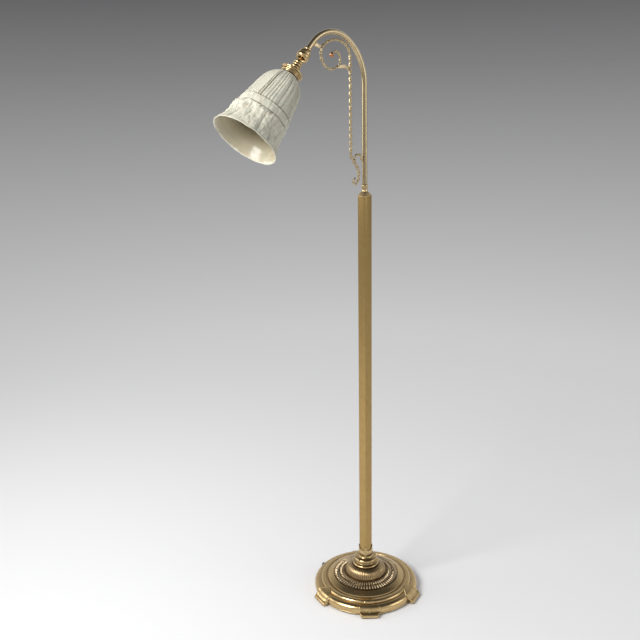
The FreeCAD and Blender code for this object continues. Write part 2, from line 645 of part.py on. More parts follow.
def make_shade(parts):
    neck = turned([(0, NECK_TOP_S), (8.0, NECK_TOP_S), (8.8, 37.6, 1.6), (8.8, 42.6), (8.4, 43.4, 2.3),
                   (8.4, 49.4), (8.6, 50.2, 2.7), (8.6, 56.6), (9.4, 57.4, -1.0), (12.6, GALLERY_TOP_S),
                   (0, GALLERY_TOP_S)])
    parts["neck_rings"] = end_frame(neck.cut(cylinder(STEM_R, NECK_TOP_S, GALLERY_TOP_S)))
    parts["holder_nipple"] = end_frame(ring(STEM_R, 3.0, NECK_TOP_S, 74.0))

    gallery = turned([(0, GALLERY_TOP_S), (14.0, GALLERY_TOP_S, 1.6), (24.4, 64.4, 2.4), (24.6, 69.0, -0.8),
                      (23.4, 73.0, 1.2), (23.0, 76.6, 0.8), (21.8, GALLERY_FOOT_S), (0, GALLERY_FOOT_S)])
    gallery = gallery.cut(cylinder(GALLERY_BORE, 63.6, GALLERY_FOOT_S))
    parts["gallery"] = end_frame(gallery.cut(cylinder(STEM_R, GALLERY_TOP_S, 64)))

    holder = turned([(STEM_R, 63.6), (17.0, 63.6), (17.0, 65.4), (15.4, 67), (15.4, 104), (13.8, 104),
                     (13.8, 84), (STEM_R + 1, 80), (STEM_R + 1, 74), (STEM_R, 74)])
    parts["lampholder"] = end_frame(holder)
    shade_ring = turned([(15.4, 84.6), (19.8, 84.6), (20.6, 85.4), (20.6, 88.6), (15.4, 88.6)])
    parts["shade_ring"] = end_frame(shade_ring)
    parts["bell_shade"] = end_frame(make_bell())


def shade_outline(inset):
    """Line of the shade from neck to rim, (r, s): shoulder, belt, waist and flared skirt."""
    return [(SHADE_NECK_R - inset, SHADE_TOP_S), (SHADE_NECK_R - inset, 79.5 + 1.2 * inset, -0.6),
            (24.1 - 0.8 * inset, 81.6 + 0.8 * inset, 4.0), (48.3 - 0.9 * inset, 118.0 + 0.3 * inset, 0.4),
            (59.0 - inset, BELT_TOP_S), (59.8 - inset, BELT_TOP_S + 0.7), (61.8 - inset, BELT_FOOT_S - 1.5),
            (63.4 - inset, BELT_FOOT_S, 1.2), (65.0 - inset, 213.0, -1.8), (71.3 - inset, 243.0, -0.4)]


def make_bell():
    """Bell with an even wall: the outer line, and the same line set in, with a rounded rim."""
    outer = shade_outline(0.0) + [(SHADE_RIM_R, SHADE_RIM_S, 1.2)]
    inner = shade_outline(SHADE_WALL) + [(SHADE_RIM_R - SHADE_WALL, SHADE_RIM_S)]
    back = []
    for k in range(len(inner) - 1, -1, -1):
        bulge = -inner[k - 1][2] if k > 0 and len(inner[k - 1]) > 2 else 0.0
        back.append((inner[k][0], inner[k][1], bulge))
    return turned(outer + back)


def check(name, shape):
    solids = shape.Solids
    if not solids:
        raise ValueError("%s has no solid" % name)
    for solid in solids:
        if not solid.isValid() or solid.Volume <= 0:
            raise ValueError("%s is not valid" % name)
    box = shape.BoundBox
    print("%-18s %2d solid(s) %9.1f mm3  z %7.1f to %7.1f" % (name, len(solids), shape.Volume, box.ZMin, box.ZMax))


def main():
    parts = {}
    make_base(parts)
    make_ballast(parts)
    make_column(parts)
    make_arm(parts)
    make_joint(parts)
    make_shade(parts)
    os.makedirs("parts", exist_ok=True)
    for name, shape in parts.items():
        shape.translate(vec(AXIS_X, AXIS_Y, 0))
        check(name, shape)
        shape.exportStep("parts/%s.step" % name)


main()
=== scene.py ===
"""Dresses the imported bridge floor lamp: fine forms, brass and glass finishes, camera and studio."""

import json
import logging
import math
from collections.abc import Callable
from dataclasses import dataclass, field
from enum import Enum

import bmesh
import bpy
from mathutils import Matrix, Vector, noise


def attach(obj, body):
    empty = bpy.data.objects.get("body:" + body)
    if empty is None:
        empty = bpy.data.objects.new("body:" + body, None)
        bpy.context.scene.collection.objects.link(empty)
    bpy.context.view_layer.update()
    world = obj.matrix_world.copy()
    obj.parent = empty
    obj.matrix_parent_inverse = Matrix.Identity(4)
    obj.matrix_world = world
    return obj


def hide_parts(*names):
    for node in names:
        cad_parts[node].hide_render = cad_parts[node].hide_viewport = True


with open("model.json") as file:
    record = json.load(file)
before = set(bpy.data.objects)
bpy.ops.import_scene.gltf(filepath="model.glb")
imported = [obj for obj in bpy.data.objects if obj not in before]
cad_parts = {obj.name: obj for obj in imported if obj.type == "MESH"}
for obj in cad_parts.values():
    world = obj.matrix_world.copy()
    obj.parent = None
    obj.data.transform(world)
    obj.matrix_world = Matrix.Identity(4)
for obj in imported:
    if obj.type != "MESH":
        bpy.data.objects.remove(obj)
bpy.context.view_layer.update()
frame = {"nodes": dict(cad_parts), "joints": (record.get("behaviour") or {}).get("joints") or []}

LOG = logging.getLogger("lamp")
MM = 0.001
TURN = 2.0 * math.pi


def column_axis() -> Matrix:
    """Where the column's axis meets the floor, from the joint that the arm turns on.

    Returns:
        The matrix that takes a piece made about the axis to its place in the frame.
    """
    swivel = next(joint for joint in frame["joints"] if joint["name"] == "arm_swivel")
    return Matrix.Translation((swivel["pos_m"][0], swivel["pos_m"][1], 0.0))


AXIS = column_axis()

Outline = list[tuple[float, ...]]


class Body(Enum):
    """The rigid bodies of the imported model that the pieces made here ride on."""

    STAND = "stand"
    ARM = "arm"
    HEAD = "head"


class Slot(Enum):
    """Names of the record's material slots; no piece made here is given one."""

    BRASS = "antique_brass"
    BERRY = "copper_berry"
    BUSH = "black_bush"
    SHADE = "shade"


# ----------------------------------------------------------------------------- node helpers


class NodeBoard:
    """Adds nodes to one node tree and links them by socket name."""

    def __init__(self, tree: bpy.types.NodeTree) -> None:
        """Keeps the tree.

        Args:
            tree: The node tree of a material, world or group.
        """
        self.tree = tree

    def add(self, kind: str, **settings: object) -> bpy.types.Node:
        """Adds one node.

        Args:
            kind: The node type's name.
            settings: Node properties, or socket values under the socket's name with _ for a space.

        Returns:
            The new node.
        """
        node = self.tree.nodes.new(kind)
        for key, value in settings.items():
            if hasattr(node, key):
                setattr(node, key, value)
            else:
                node.inputs[key.replace("_", " ")].default_value = value
        return node

    def link(self, source: bpy.types.NodeSocket, target: bpy.types.NodeSocket) -> None:
        """Links two sockets.

        Args:
            source: The output socket.
            target: The input socket.
        """
        self.tree.links.new(source, target)

    def math(self, operation: str, first: object, second: object) -> bpy.types.NodeSocket:
        """Adds a Math node.

        Args:
            operation: The operation's name.
            first: A socket or a number.
            second: A socket or a number.

        Returns:
            The node's output socket.
        """
        node = self.add("ShaderNodeMath", operation=operation)
        for socket, value in zip(node.inputs, (first, second)):
            if isinstance(value, (int, float)):
                socket.default_value = value
            else:
                self.link(value, socket)
        return node.outputs[0]

    def mix(self, factor: object, first: object, second: object) -> bpy.types.NodeSocket:
        """Mixes two colours.

        Args:
            factor: A socket or a number.
            first: A socket or a colour with alpha.
            second: A socket or a colour with alpha.

        Returns:
            The mixed colour's socket.
        """
        node = self.add("ShaderNodeMix", data_type="RGBA")
        for socket, value in ((node.inputs[0], factor), (node.inputs[6], first), (node.inputs[7], second)):
            if isinstance(value, bpy.types.NodeSocket):
                self.link(value, socket)
            else:
                socket.default_value = value
        return node.outputs[2]

    def ramp(self, source: bpy.types.NodeSocket, low: float, high: float,
             to_low: float = 0.0, to_high: float = 1.0) -> bpy.types.NodeSocket:
        """Maps a value from low..high to to_low..to_high, held at both ends.

        Args:
            source: The socket to map.
            low: Value that maps to to_low.
            high: Value that maps to to_high.
            to_low: Lowest output.
            to_high: Highest output.

        Returns:
            The mapped value's socket.
        """
        node = self.add("ShaderNodeMapRange", From_Min=low, From_Max=high, To_Min=to_low, To_Max=to_high)
        self.link(source, node.inputs["Value"])
        return node.outputs[0]

    def group(self, tree: bpy.types.NodeTree, **values: object) -> bpy.types.Node:
        """Adds a group node.

        Args:
            tree: The group that the node stands for.
            values: Socket values under the socket's name.

        Returns:
            The group node.
        """
        node = self.add("ShaderNodeGroup", node_tree=tree)
        for key, value in values.items():
            node.inputs[key].default_value = value
        return node


def new_group(name: str, inputs: list[tuple[str, str, object]],
              outputs: list[tuple[str, str]]) -> bpy.types.NodeTree:
    """Makes an empty shader node group.

    Args:
        name: The group's name.
        inputs: Name, socket type and default of each input.
        outputs: Name and socket type of each output.

    Returns:
        The group with its sockets.
    """
    group = bpy.data.node_groups.new(name, "ShaderNodeTree")
    for label, kind, default in inputs:
        socket = group.interface.new_socket(label, in_out="INPUT", socket_type=kind)
        socket.default_value = default
    for label, kind in outputs:
        group.interface.new_socket(label, in_out="OUTPUT", socket_type=kind)
    return group


def rgba(colour: tuple[float, float, float]) -> tuple[float, float, float, float]:
    """Gives a colour full alpha.

    Args:
        colour: Red, green and blue.

    Returns:
        The colour with an alpha of 1.
    """
    return (*colour, 1.0)


# ----------------------------------------------------------------------------- effects


class Effects:
    """The shader node groups that several finishes share."""

    def __init__(self) -> None:
        """Builds each group once."""
        self.patina = self._patina()
        self.grain = self._grain()

    def _patina(self) -> bpy.types.NodeTree:
        """Old brass: brown in the hollows, mottled on the open faces, rubbed bright on the edges.

        Returns:
            The group: Colour and Roughness out.
        """
        colour = "NodeSocketColor"
        value = "NodeSocketFloat"
        group = new_group(
            "patina",
            [("Bright", colour, (0.6, 0.42, 0.2, 1.0)), ("Worn", colour, (0.4, 0.27, 0.12, 1.0)),
             ("Dark", colour, (0.08, 0.045, 0.02, 1.0)), ("Hollow", value, 0.01), ("Amount", value, 0.7),
             ("Polish", value, 0.2), ("Dull", value, 0.5)],
            [("Colour", colour), ("Roughness", value)])
        board = NodeBoard(group)
        source = board.add("NodeGroupInput")
        place = board.add("ShaderNodeTexCoord")
        cloud = board.add("ShaderNodeTexNoise", Scale=60.0, Detail=5.0, Roughness=0.6)
        board.link(place.outputs["Object"], cloud.inputs["Vector"])
        speck = board.add("ShaderNodeTexNoise", Scale=900.0, Detail=3.0)
        board.link(place.outputs["Object"], speck.inputs["Vector"])
        hollow = board.add("ShaderNodeAmbientOcclusion", samples=8)
        board.link(source.outputs["Hollow"], hollow.inputs["Distance"])
        open_face = board.ramp(hollow.outputs["AO"], 0.45, 0.95)
        shadow = board.math("SUBTRACT", 1.0, open_face)
        mottle = board.ramp(cloud.outputs["Fac"], 0.42, 0.66)
        fleck = board.ramp(speck.outputs["Fac"], 0.5, 0.75, 0.0, 0.35)
        dirt = board.math("MULTIPLY", shadow, source.outputs["Amount"])
        dirt = board.math("ADD", dirt, board.math("MULTIPLY", fleck, shadow))
        dirt = board.ramp(dirt, 0.0, 1.0)
        base = board.mix(mottle, source.outputs["Bright"], source.outputs["Worn"])
        tone = board.mix(dirt, base, source.outputs["Dark"])
        rough = board.add("ShaderNodeMix", data_type="FLOAT")
        board.link(board.math("MAXIMUM", dirt, board.math("MULTIPLY", mottle, 0.35)), rough.inputs[0])
        board.link(source.outputs["Polish"], rough.inputs[2])
        board.link(source.outputs["Dull"], rough.inputs[3])
        end = board.add("NodeGroupOutput")
        board.link(tone, end.inputs["Colour"])
        board.link(rough.outputs[0], end.inputs["Roughness"])
        return group

    def _grain(self) -> bpy.types.NodeTree:
        """Fine polishing lines or casting skin: a height that feeds a bump.

        Returns:
            The group: Height out.
        """
        value = "NodeSocketFloat"
        group = new_group(
            "grain", [("Stretch", "NodeSocketVector", (1.0, 1.0, 1.0)), ("Scale", value, 700.0)],
            [("Height", value)])
        board = NodeBoard(group)
        source = board.add("NodeGroupInput")
        place = board.add("ShaderNodeTexCoord")
        shape = board.add("ShaderNodeMapping")
        board.link(place.outputs["Object"], shape.inputs["Vector"])
        board.link(source.outputs["Stretch"], shape.inputs["Scale"])
        lines = board.add("ShaderNodeTexNoise", Detail=4.0, Roughness=0.55)
        board.link(shape.outputs[0], lines.inputs["Vector"])
        board.link(source.outputs["Scale"], lines.inputs["Scale"])
        end = board.add("NodeGroupOutput")
        board.link(lines.outputs["Fac"], end.inputs["Height"])
        return group


# ----------------------------------------------------------------------------- finishes


@dataclass(frozen=True)
class BrassFinish:
    """Antique brass under lacquer.

    Attributes:
        name: The material's name.
        bright: Colour where it is rubbed.
        worn: Colour of the mottled open faces.
        dark: Colour of the patina in the hollows.
        hollow: How far the patina creeps out of a hollow, in metres.
        amount: How much patina a hollow holds.
        polish: Roughness where it is bright.
        dull: Roughness where it is dark.
        stretch: Grain stretch along each axis.
        bump: Depth of the grain.
    """

    name: str
    bright: tuple[float, float, float] = (0.55, 0.405, 0.205)
    worn: tuple[float, float, float] = (0.45, 0.325, 0.155)
    dark: tuple[float, float, float] = (0.050, 0.032, 0.018)
    hollow: float = 0.010
    amount: float = 0.85
    polish: float = 0.20
    dull: float = 0.48
    stretch: tuple[float, float, float] = (1.0, 1.0, 1.0)
    bump: float = 0.02

    def build(self, effects: Effects) -> bpy.types.Material:
        """Builds the material.

        Args:
            effects: The shared groups.

        Returns:
            The material.
        """
        material, board, shader = new_material(self.name)
        patina = board.group(effects.patina, Bright=rgba(self.bright), Worn=rgba(self.worn),
                             Dark=rgba(self.dark), Hollow=self.hollow, Amount=self.amount,
                             Polish=self.polish, Dull=self.dull)
        shader.inputs["Metallic"].default_value = 1.0
        board.link(patina.outputs["Colour"], shader.inputs["Base Color"])
        board.link(patina.outputs["Roughness"], shader.inputs["Roughness"])
        add_bump(board, shader, effects, self.stretch, self.bump)
        return material


@dataclass(frozen=True)
class PlainFinish:
    """A finish of one substance with a little cloud in its colour and a fine grain.

    Attributes:
        name: The material's name.
        colour: Main colour.
        other: Second colour of the cloud.
        metallic: 1 for a bare metal, 0 for the rest.
        smooth: Lowest roughness.
        rough: Highest roughness.
        scale: Size of the cloud, per metre.
        bump: Depth of the grain.
        sheen: Weight of a cloth's sheen.
    """

    name: str
    colour: tuple[float, float, float]
    other: tuple[float, float, float]
    metallic: float = 0.0
    smooth: float = 0.4
    rough: float = 0.6
    scale: float = 120.0
    bump: float = 0.05
    sheen: float = 0.0

    def build(self, effects: Effects) -> bpy.types.Material:
        """Builds the material.

        Args:
            effects: The shared groups.

        Returns:
            The material.
        """
        material, board, shader = new_material(self.name)
        place = board.add("ShaderNodeTexCoord")
        cloud = board.add("ShaderNodeTexNoise", Scale=self.scale, Detail=4.0)
        board.link(place.outputs["Object"], cloud.inputs["Vector"])
        spread = board.ramp(cloud.outputs["Fac"], 0.35, 0.65)
        board.link(board.mix(spread, rgba(self.colour), rgba(self.other)), shader.inputs["Base Color"])
        board.link(board.ramp(spread, 0.0, 1.0, self.smooth, self.rough), shader.inputs["Roughness"])
        shader.inputs["Metallic"].default_value = self.metallic
        shader.inputs["Sheen Weight"].default_value = self.sheen
        add_bump(board, shader, effects, (1.0, 1.0, 1.0), self.bump)
        return material


@dataclass(frozen=True)
class GlassFinish:
    """Opaque off-white moulded glass.

    Attributes:
        name: The material's name.
        milk: Colour of the open faces.
        painted_fold_shade: Colour of the shade painted into the folds.
        blush: Pinkish clouds on the skin.
        moss: Greenish clouds on the skin.
        smooth: Roughness of the polished skin.
        rough: Roughness of the satin skin.
        coat: Weight of the clear skin.
        gloss: Roughness of the clear skin.
        bump: Depth of the moulded grain.
        fold_shade_reach: How far the painted shade reaches out of a fold, in metres.
    """

    name: str
    milk: tuple[float, float, float] = (0.63, 0.61, 0.495)
    painted_fold_shade: tuple[float, float, float] = (0.12, 0.105, 0.07)
    blush: tuple[float, float, float] = (0.57, 0.51, 0.41)
    moss: tuple[float, float, float] = (0.40, 0.44, 0.36)
    smooth: float = 0.50
    rough: float = 0.70
    coat: float = 0.0
    gloss: float = 0.12
    bump: float = 0.10
    fold_shade_reach: float = 0.007

    def build(self, effects: Effects) -> bpy.types.Material:
        """Builds the material.

        Args:
            effects: The shared groups.

        Returns:
            The material.
        """
        material, board, shader = new_material(self.name)
        place = board.add("ShaderNodeTexCoord")
        cloud = board.add("ShaderNodeTexNoise", Scale=45.0, Detail=6.0, Roughness=0.65)
        board.link(place.outputs["Object"], cloud.inputs["Vector"])
        # Painted shade: faces deep in the folds and creases, found by ambient occlusion, are darkened towards
        # the fold shade colour.
        hollow = board.add("ShaderNodeAmbientOcclusion", samples=8, Distance=self.fold_shade_reach)
        shadow = board.math("SUBTRACT", 1.0, board.ramp(hollow.outputs["AO"], 0.35, 0.95))
        high = board.ramp(cloud.outputs["Fac"], 0.52, 0.68, 0.0, 0.7)
        tint = board.mix(high, rgba(self.milk), rgba(self.blush))
        low = board.ramp(cloud.outputs["Fac"], 0.30, 0.46, 0.7, 0.0)
        tint = board.mix(low, tint, rgba(self.moss))
        board.link(board.mix(shadow, tint, rgba(self.painted_fold_shade)), shader.inputs["Base Color"])
        board.link(board.ramp(cloud.outputs["Fac"], 0.3, 0.7, self.smooth, self.rough),
                   shader.inputs["Roughness"])
        shader.inputs["Coat Weight"].default_value = self.coat
        shader.inputs["Coat Roughness"].default_value = self.gloss
        add_bump(board, shader, effects, (1.0, 1.0, 1.0), self.bump, 260.0)
        return material


def new_material(name: str) -> tuple[bpy.types.Material, NodeBoard, bpy.types.Node]:
    """Makes a material with a Principled shader.

    Args:
        name: The material's name.

    Returns:
        The material, its node board and its shader node.
    """
    material = bpy.data.materials.new(name)
    material.use_nodes = True
    board = NodeBoard(material.node_tree)
    shader = material.node_tree.nodes["Principled BSDF"]
    return material, board, shader


def add_bump(board: NodeBoard, shader: bpy.types.Node, effects: Effects,
             stretch: tuple[float, float, float], depth: float, scale: float = 700.0) -> None:
    """Adds the grain to a shader's normal.

    Args:
        board: The material's node board.
        shader: Its Principled node.
        effects: The shared groups.
        stretch: Grain stretch along each axis.
        depth: Strength of the bump.
        scale: Grain size, per metre.
    """
    grain = board.group(effects.grain, Stretch=stretch, Scale=scale)
    bump = board.add("ShaderNodeBump", Strength=depth, Distance=0.001)
    board.link(grain.outputs["Height"], bump.inputs["Height"])
    board.link(bump.outputs["Normal"], shader.inputs["Normal"])


class Finishes:
    """Every finish of the lamp, built once."""

    def __init__(self) -> None:
        """Builds the groups and the materials."""
        self.effects = Effects()
        self.build_brass()
        self.build_plain()
        self.build_glass()

    def build_brass(self) -> None:
        """Builds the brasses: the smooth ones first, then the castings and the rubbed relief."""
        self.column = BrassFinish(
            "brass_column", bright=(0.46, 0.31, 0.120), worn=(0.43, 0.285, 0.108), amount=0.5,
            stretch=(1.0, 1.0, 0.02), bump=0.012, polish=0.24, dull=0.30).build(self.effects)
        self.tube = BrassFinish(
            "brass_tube", bright=(0.58, 0.465, 0.28), worn=(0.52, 0.41, 0.24), amount=0.35,
            polish=0.20, dull=0.30, bump=0.008).build(self.effects)
        self.turned = BrassFinish(
            "brass_turned", bright=(0.62, 0.46, 0.24), hollow=0.005, polish=0.17,
            amount=1.1).build(self.effects)
        self.cast = BrassFinish(
            "brass_cast", bright=(0.62, 0.45, 0.225), worn=(0.54, 0.385, 0.185), amount=0.55,
            hollow=0.006, polish=0.20, dull=0.36, bump=0.012).build(self.effects)
        self.foot = BrassFinish(
            "brass_foot", bright=(0.60, 0.44, 0.22), worn=(0.50, 0.355, 0.17), amount=0.35,
            hollow=0.004, polish=0.22, dull=0.36, bump=0.02).build(self.effects)
        self.relief = BrassFinish(
            "brass_relief", bright=(0.44, 0.315, 0.165), worn=(0.30, 0.205, 0.105),
            dark=(0.030, 0.018, 0.010), hollow=0.005, polish=0.26, amount=1.1).build(self.effects)
        self.ground = BrassFinish(
            "brass_ground", bright=(0.26, 0.180, 0.095), worn=(0.18, 0.12, 0.062),
            dark=(0.035, 0.020, 0.012), hollow=0.004, polish=0.34, dull=0.5).build(self.effects)
        self.reed = BrassFinish(
            "brass_reed", bright=(0.66, 0.52, 0.33), worn=(0.50, 0.38, 0.23),
            dark=(0.05, 0.032, 0.018), hollow=0.0025, polish=0.26, amount=1.0).build(self.effects)
        self.rope = BrassFinish(
            "brass_rope", bright=(0.54, 0.435, 0.27), worn=(0.45, 0.35, 0.21),
            dark=(0.16, 0.118, 0.065), hollow=0.003, polish=0.34, dull=0.46,
            amount=0.6).build(self.effects)
        self.berry = BrassFinish(
            "brass_berry", bright=(0.55, 0.27, 0.14), worn=(0.40, 0.18, 0.09)).build(self.effects)

    def build_plain(self) -> None:
        """Builds the finishes of the bush and the hidden parts."""
        self.steel = PlainFinish(
            "zinc_steel", (0.55, 0.55, 0.56), (0.42, 0.42, 0.44), metallic=1.0, smooth=0.28,
            rough=0.45).build(self.effects)
        self.iron = PlainFinish(
            "cast_iron", (0.05, 0.05, 0.052), (0.09, 0.085, 0.08), metallic=0.6, smooth=0.5,
            rough=0.75, bump=0.4).build(self.effects)
        self.felt = PlainFinish(
            "felt", (0.06, 0.052, 0.045), (0.10, 0.09, 0.08), smooth=0.85, rough=1.0,
            scale=900.0, bump=0.6, sheen=0.4).build(self.effects)
        self.rubber = PlainFinish(
            "black_rubber", (0.006, 0.006, 0.006), (0.014, 0.014, 0.014), smooth=0.6,
            rough=0.8).build(self.effects)
        self.fibre = PlainFinish(
            "red_fibre", (0.18, 0.05, 0.03), (0.11, 0.035, 0.025)).build(self.effects)
        self.bakelite = PlainFinish(
            "bakelite", (0.016, 0.013, 0.012), (0.03, 0.025, 0.022), smooth=0.22,
            rough=0.4).build(self.effects)

    def build_glass(self) -> None:
        """Builds the shade's outside and its glossier, creamier inside, on which a long fold reach paints
        shade deep in the bell.
        """
        self.glass = GlassFinish("opal_glass").build(self.effects)
        # Painted shade: the lining's long fold reach darkens the inside of the bell towards its neck.
        self.lining = GlassFinish(
            "opal_lining", milk=(0.50, 0.45, 0.315), painted_fold_shade=(0.17, 0.125, 0.075),
            blush=(0.50, 0.395, 0.28), moss=(0.45, 0.425, 0.31), smooth=0.20, rough=0.30,
            coat=0.1, bump=0.03, fold_shade_reach=0.07).build(self.effects)


# ----------------------------------------------------------------------------- mesh helpers


def chain(outline: Outline, step: float = 0.7) -> list[Vector]:
    """Points of an outline in the XZ plane, in metres.

    Args:
        outline: Corners (r, z) or (r, z, bulge) in mm. bulge is the sagitta of the arc to the next
            corner, to the right of travel.
        step: Length of the arcs' chords in mm.

    Returns:
        The points from the first corner to the last.
    """
    points: list[Vector] = []
    for start, end in zip(outline, outline[1:]):
        a = Vector((start[0], 0.0, start[1]))
        b = Vector((end[0], 0.0, end[1]))
        points.append(a)
        bulge = start[2] if len(start) > 2 else 0.0
        if not bulge:
            continue
        half = (b - a).length / 2
        radius = (half * half + bulge * bulge) / (2 * abs(bulge))
        sweep = 2 * math.asin(min(1.0, half / radius))
        right = Vector((b.z - a.z, 0.0, a.x - b.x)).normalized() * math.copysign(1.0, bulge)
        centre = (a + b) / 2 + right * (abs(bulge) - radius)
        count = max(3, int(radius * sweep / step))
        turn = sweep * math.copysign(1.0, -bulge)
        for k in range(1, count):
            points.append(centre + Matrix.Rotation(turn * k / count, 3, "Y") @ (a - centre))
    last = outline[-1]
    points.append(Vector((last[0], 0.0, last[1])))
    return [p * MM for p in points]


def end_axis(end: Vector, drop: float) -> Matrix:
    """The frame at the arm's end, with its Z along the end's axis.

    Args:
        end: The end of the tube, in metres.
        drop: The end's fall below level, in degrees.

    Returns:
        The matrix that takes a piece made about Z to the arm's end.
    """
    return AXIS @ Matrix.Translation(end) @ Matrix.Rotation(math.radians(180.0 + drop), 4, "Y")


def wire(bm: bmesh.types.BMesh, points: list[Vector]) -> list:
    """Adds a chain of edges.

    Args:
        bm: The mesh.
        points: The chain's points.

    Returns:
        The new vertices and edges.
    """
    verts = [bm.verts.new(p) for p in points]
    edges = [bm.edges.new(pair) for pair in zip(verts, verts[1:])]
    return verts + edges


def spun(outline: Outline, segments: int = 144, step: float = 0.7) -> bmesh.types.BMesh:
    """Turns an outline about Z.

    Args:
        outline: Corners as chain() takes them, from the axis or round a closed ring.
        segments: Steps round the full turn.
        step: Length of the arcs' chords in mm.

    Returns:
        The turned mesh.
    """
    bm = bmesh.new()
    geom = wire(bm, chain(outline, step))
    bmesh.ops.spin(bm, geom=geom, cent=(0, 0, 0), axis=(0, 0, 1), angle=TURN, steps=segments, use_merge=True)
    bmesh.ops.remove_doubles(bm, verts=bm.verts, dist=1e-6)
    return bm


def soften(bm: bmesh.types.BMesh, angle: float) -> None:
    """Points the faces outwards and makes them smooth.

    Args:
        bm: The mesh.
        angle: Edges sharper than this stay sharp, in degrees.
    """
    bmesh.ops.recalc_face_normals(bm, faces=bm.faces)
    limit = math.radians(angle)
    for face in bm.faces:
        face.smooth = True
    for edge in bm.edges:
        if len(edge.link_faces) == 2:
            edge.smooth = edge.calc_face_angle() < limit


def place_piece(bm: bmesh.types.BMesh, name: str, material: bpy.types.Material, body: Body,
                nodes: tuple[str, ...] = (), matrix: Matrix = AXIS,
                angle: float = 32.0) -> bpy.types.Object:
    """Turns a bmesh into a finished piece of the lamp.

    Args:
        bm: The mesh; it is freed.
        name: The piece's name.
        material: Its finish.
        body: The body that it rides on.
        nodes: CAD nodes that it stands for.
        matrix: Where it goes, by default about the column's axis; it ends up in the mesh.
        angle: Edges sharper than this stay sharp, in degrees.

    Returns:
        The new object.
    """
    bmesh.ops.transform(bm, matrix=matrix, verts=bm.verts)
    soften(bm, angle)
    mesh = bpy.data.meshes.new(name)
    bm.to_mesh(mesh)
    bm.free()
    mesh.materials.append(material)
    piece = bpy.data.objects.new(name, mesh)
    bpy.context.scene.collection.objects.link(piece)
    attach(piece, body.value)
    if nodes:
        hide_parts(*nodes)
    LOG.info("%s: %d faces", name, len(mesh.polygons))
    return piece


def merged_copy(node: str) -> bmesh.types.BMesh:
    """The mesh of a CAD node about the column's axis, its triangles joined and flat areas made one face.

    Args:
        node: The CAD node.

    Returns:
        The joined mesh.
    """
    bm = bmesh.new()
    bm.from_mesh(frame["nodes"][node].data)
    bmesh.ops.transform(bm, matrix=AXIS.inverted(), verts=bm.verts)
    bmesh.ops.remove_doubles(bm, verts=bm.verts, dist=1e-6)
    bmesh.ops.dissolve_limit(bm, angle_limit=math.radians(1.0), verts=bm.verts, edges=bm.edges)
    return bm


def round_edges(bm: bmesh.types.BMesh, width: float, angle: float = 35.0, segments: int = 2) -> None:
    """Rounds every edge that is sharper than an angle.

    Args:
        bm: The mesh.
        width: Width of the rounding in mm.
        angle: Edges sharper than this are rounded, in degrees.
        segments: Steps across the rounding.
    """
    limit = math.radians(angle)
    edges = [e for e in bm.edges if len(e.link_faces) == 2 and e.calc_face_angle() > limit]
    bmesh.ops.bevel(bm, geom=edges, offset=width * MM, offset_type="OFFSET", affect="EDGES",
                    segments=segments, profile=0.5, material=-1, clamp_overlap=True)


def split_chords(points: list[Vector], step: float) -> list[Vector]:
    """Splits a line's chords so that none is longer than a step.

    Args:
        points: The line, in metres.
        step: The longest chord, in mm.

    Returns:
        The line with the points added.
    """
    result = [points[0]]
    for a, b in zip(points, points[1:]):
        count = max(1, math.ceil((b - a).length / (step * MM)))
        result.extend(a.lerp(b, k / count) for k in range(1, count + 1))
    return result


def extend_ring(bm: bmesh.types.BMesh, edges: list, step: Vector) -> list:
    """Extrudes a ring of edges.

    Args:
        bm: The mesh.
        edges: The ring.
        step: How far and where to, in metres.

    Returns:
        The edges of the new ring.
    """
    made = bmesh.ops.extrude_edge_only(bm, edges=edges)["geom"]
    bmesh.ops.translate(bm, verts=[g for g in made if isinstance(g, bmesh.types.BMVert)], vec=step)
    return [g for g in made if isinstance(g, bmesh.types.BMEdge) and g.is_boundary]


def swing_ring(bm: bmesh.types.BMesh, edges: list, centre: Vector, angle: float) -> list:
    """Spins a ring of edges through a bend in the arm's plane.

    Args:
        bm: The mesh.
        edges: The ring.
        centre: The bend's centre, in metres.
        angle: The bend's angle, in radians.

    Returns:
        The edges of the last ring.
    """
    verts = list({v for e in edges for v in e.verts})
    made = bmesh.ops.spin(bm, geom=verts + edges, cent=centre, axis=(0, -1, 0), angle=angle, steps=48)
    return [g for g in made["geom_last"] if isinstance(g, bmesh.types.BMEdge)]


# ----------------------------------------------------------------------------- base


class LugForm(Enum):
    """How a foot's lug lies on the base: straight across the moulding's hollows, or fitted into them."""

    BRIDGED = "bridged"
    FITTED = "fitted"


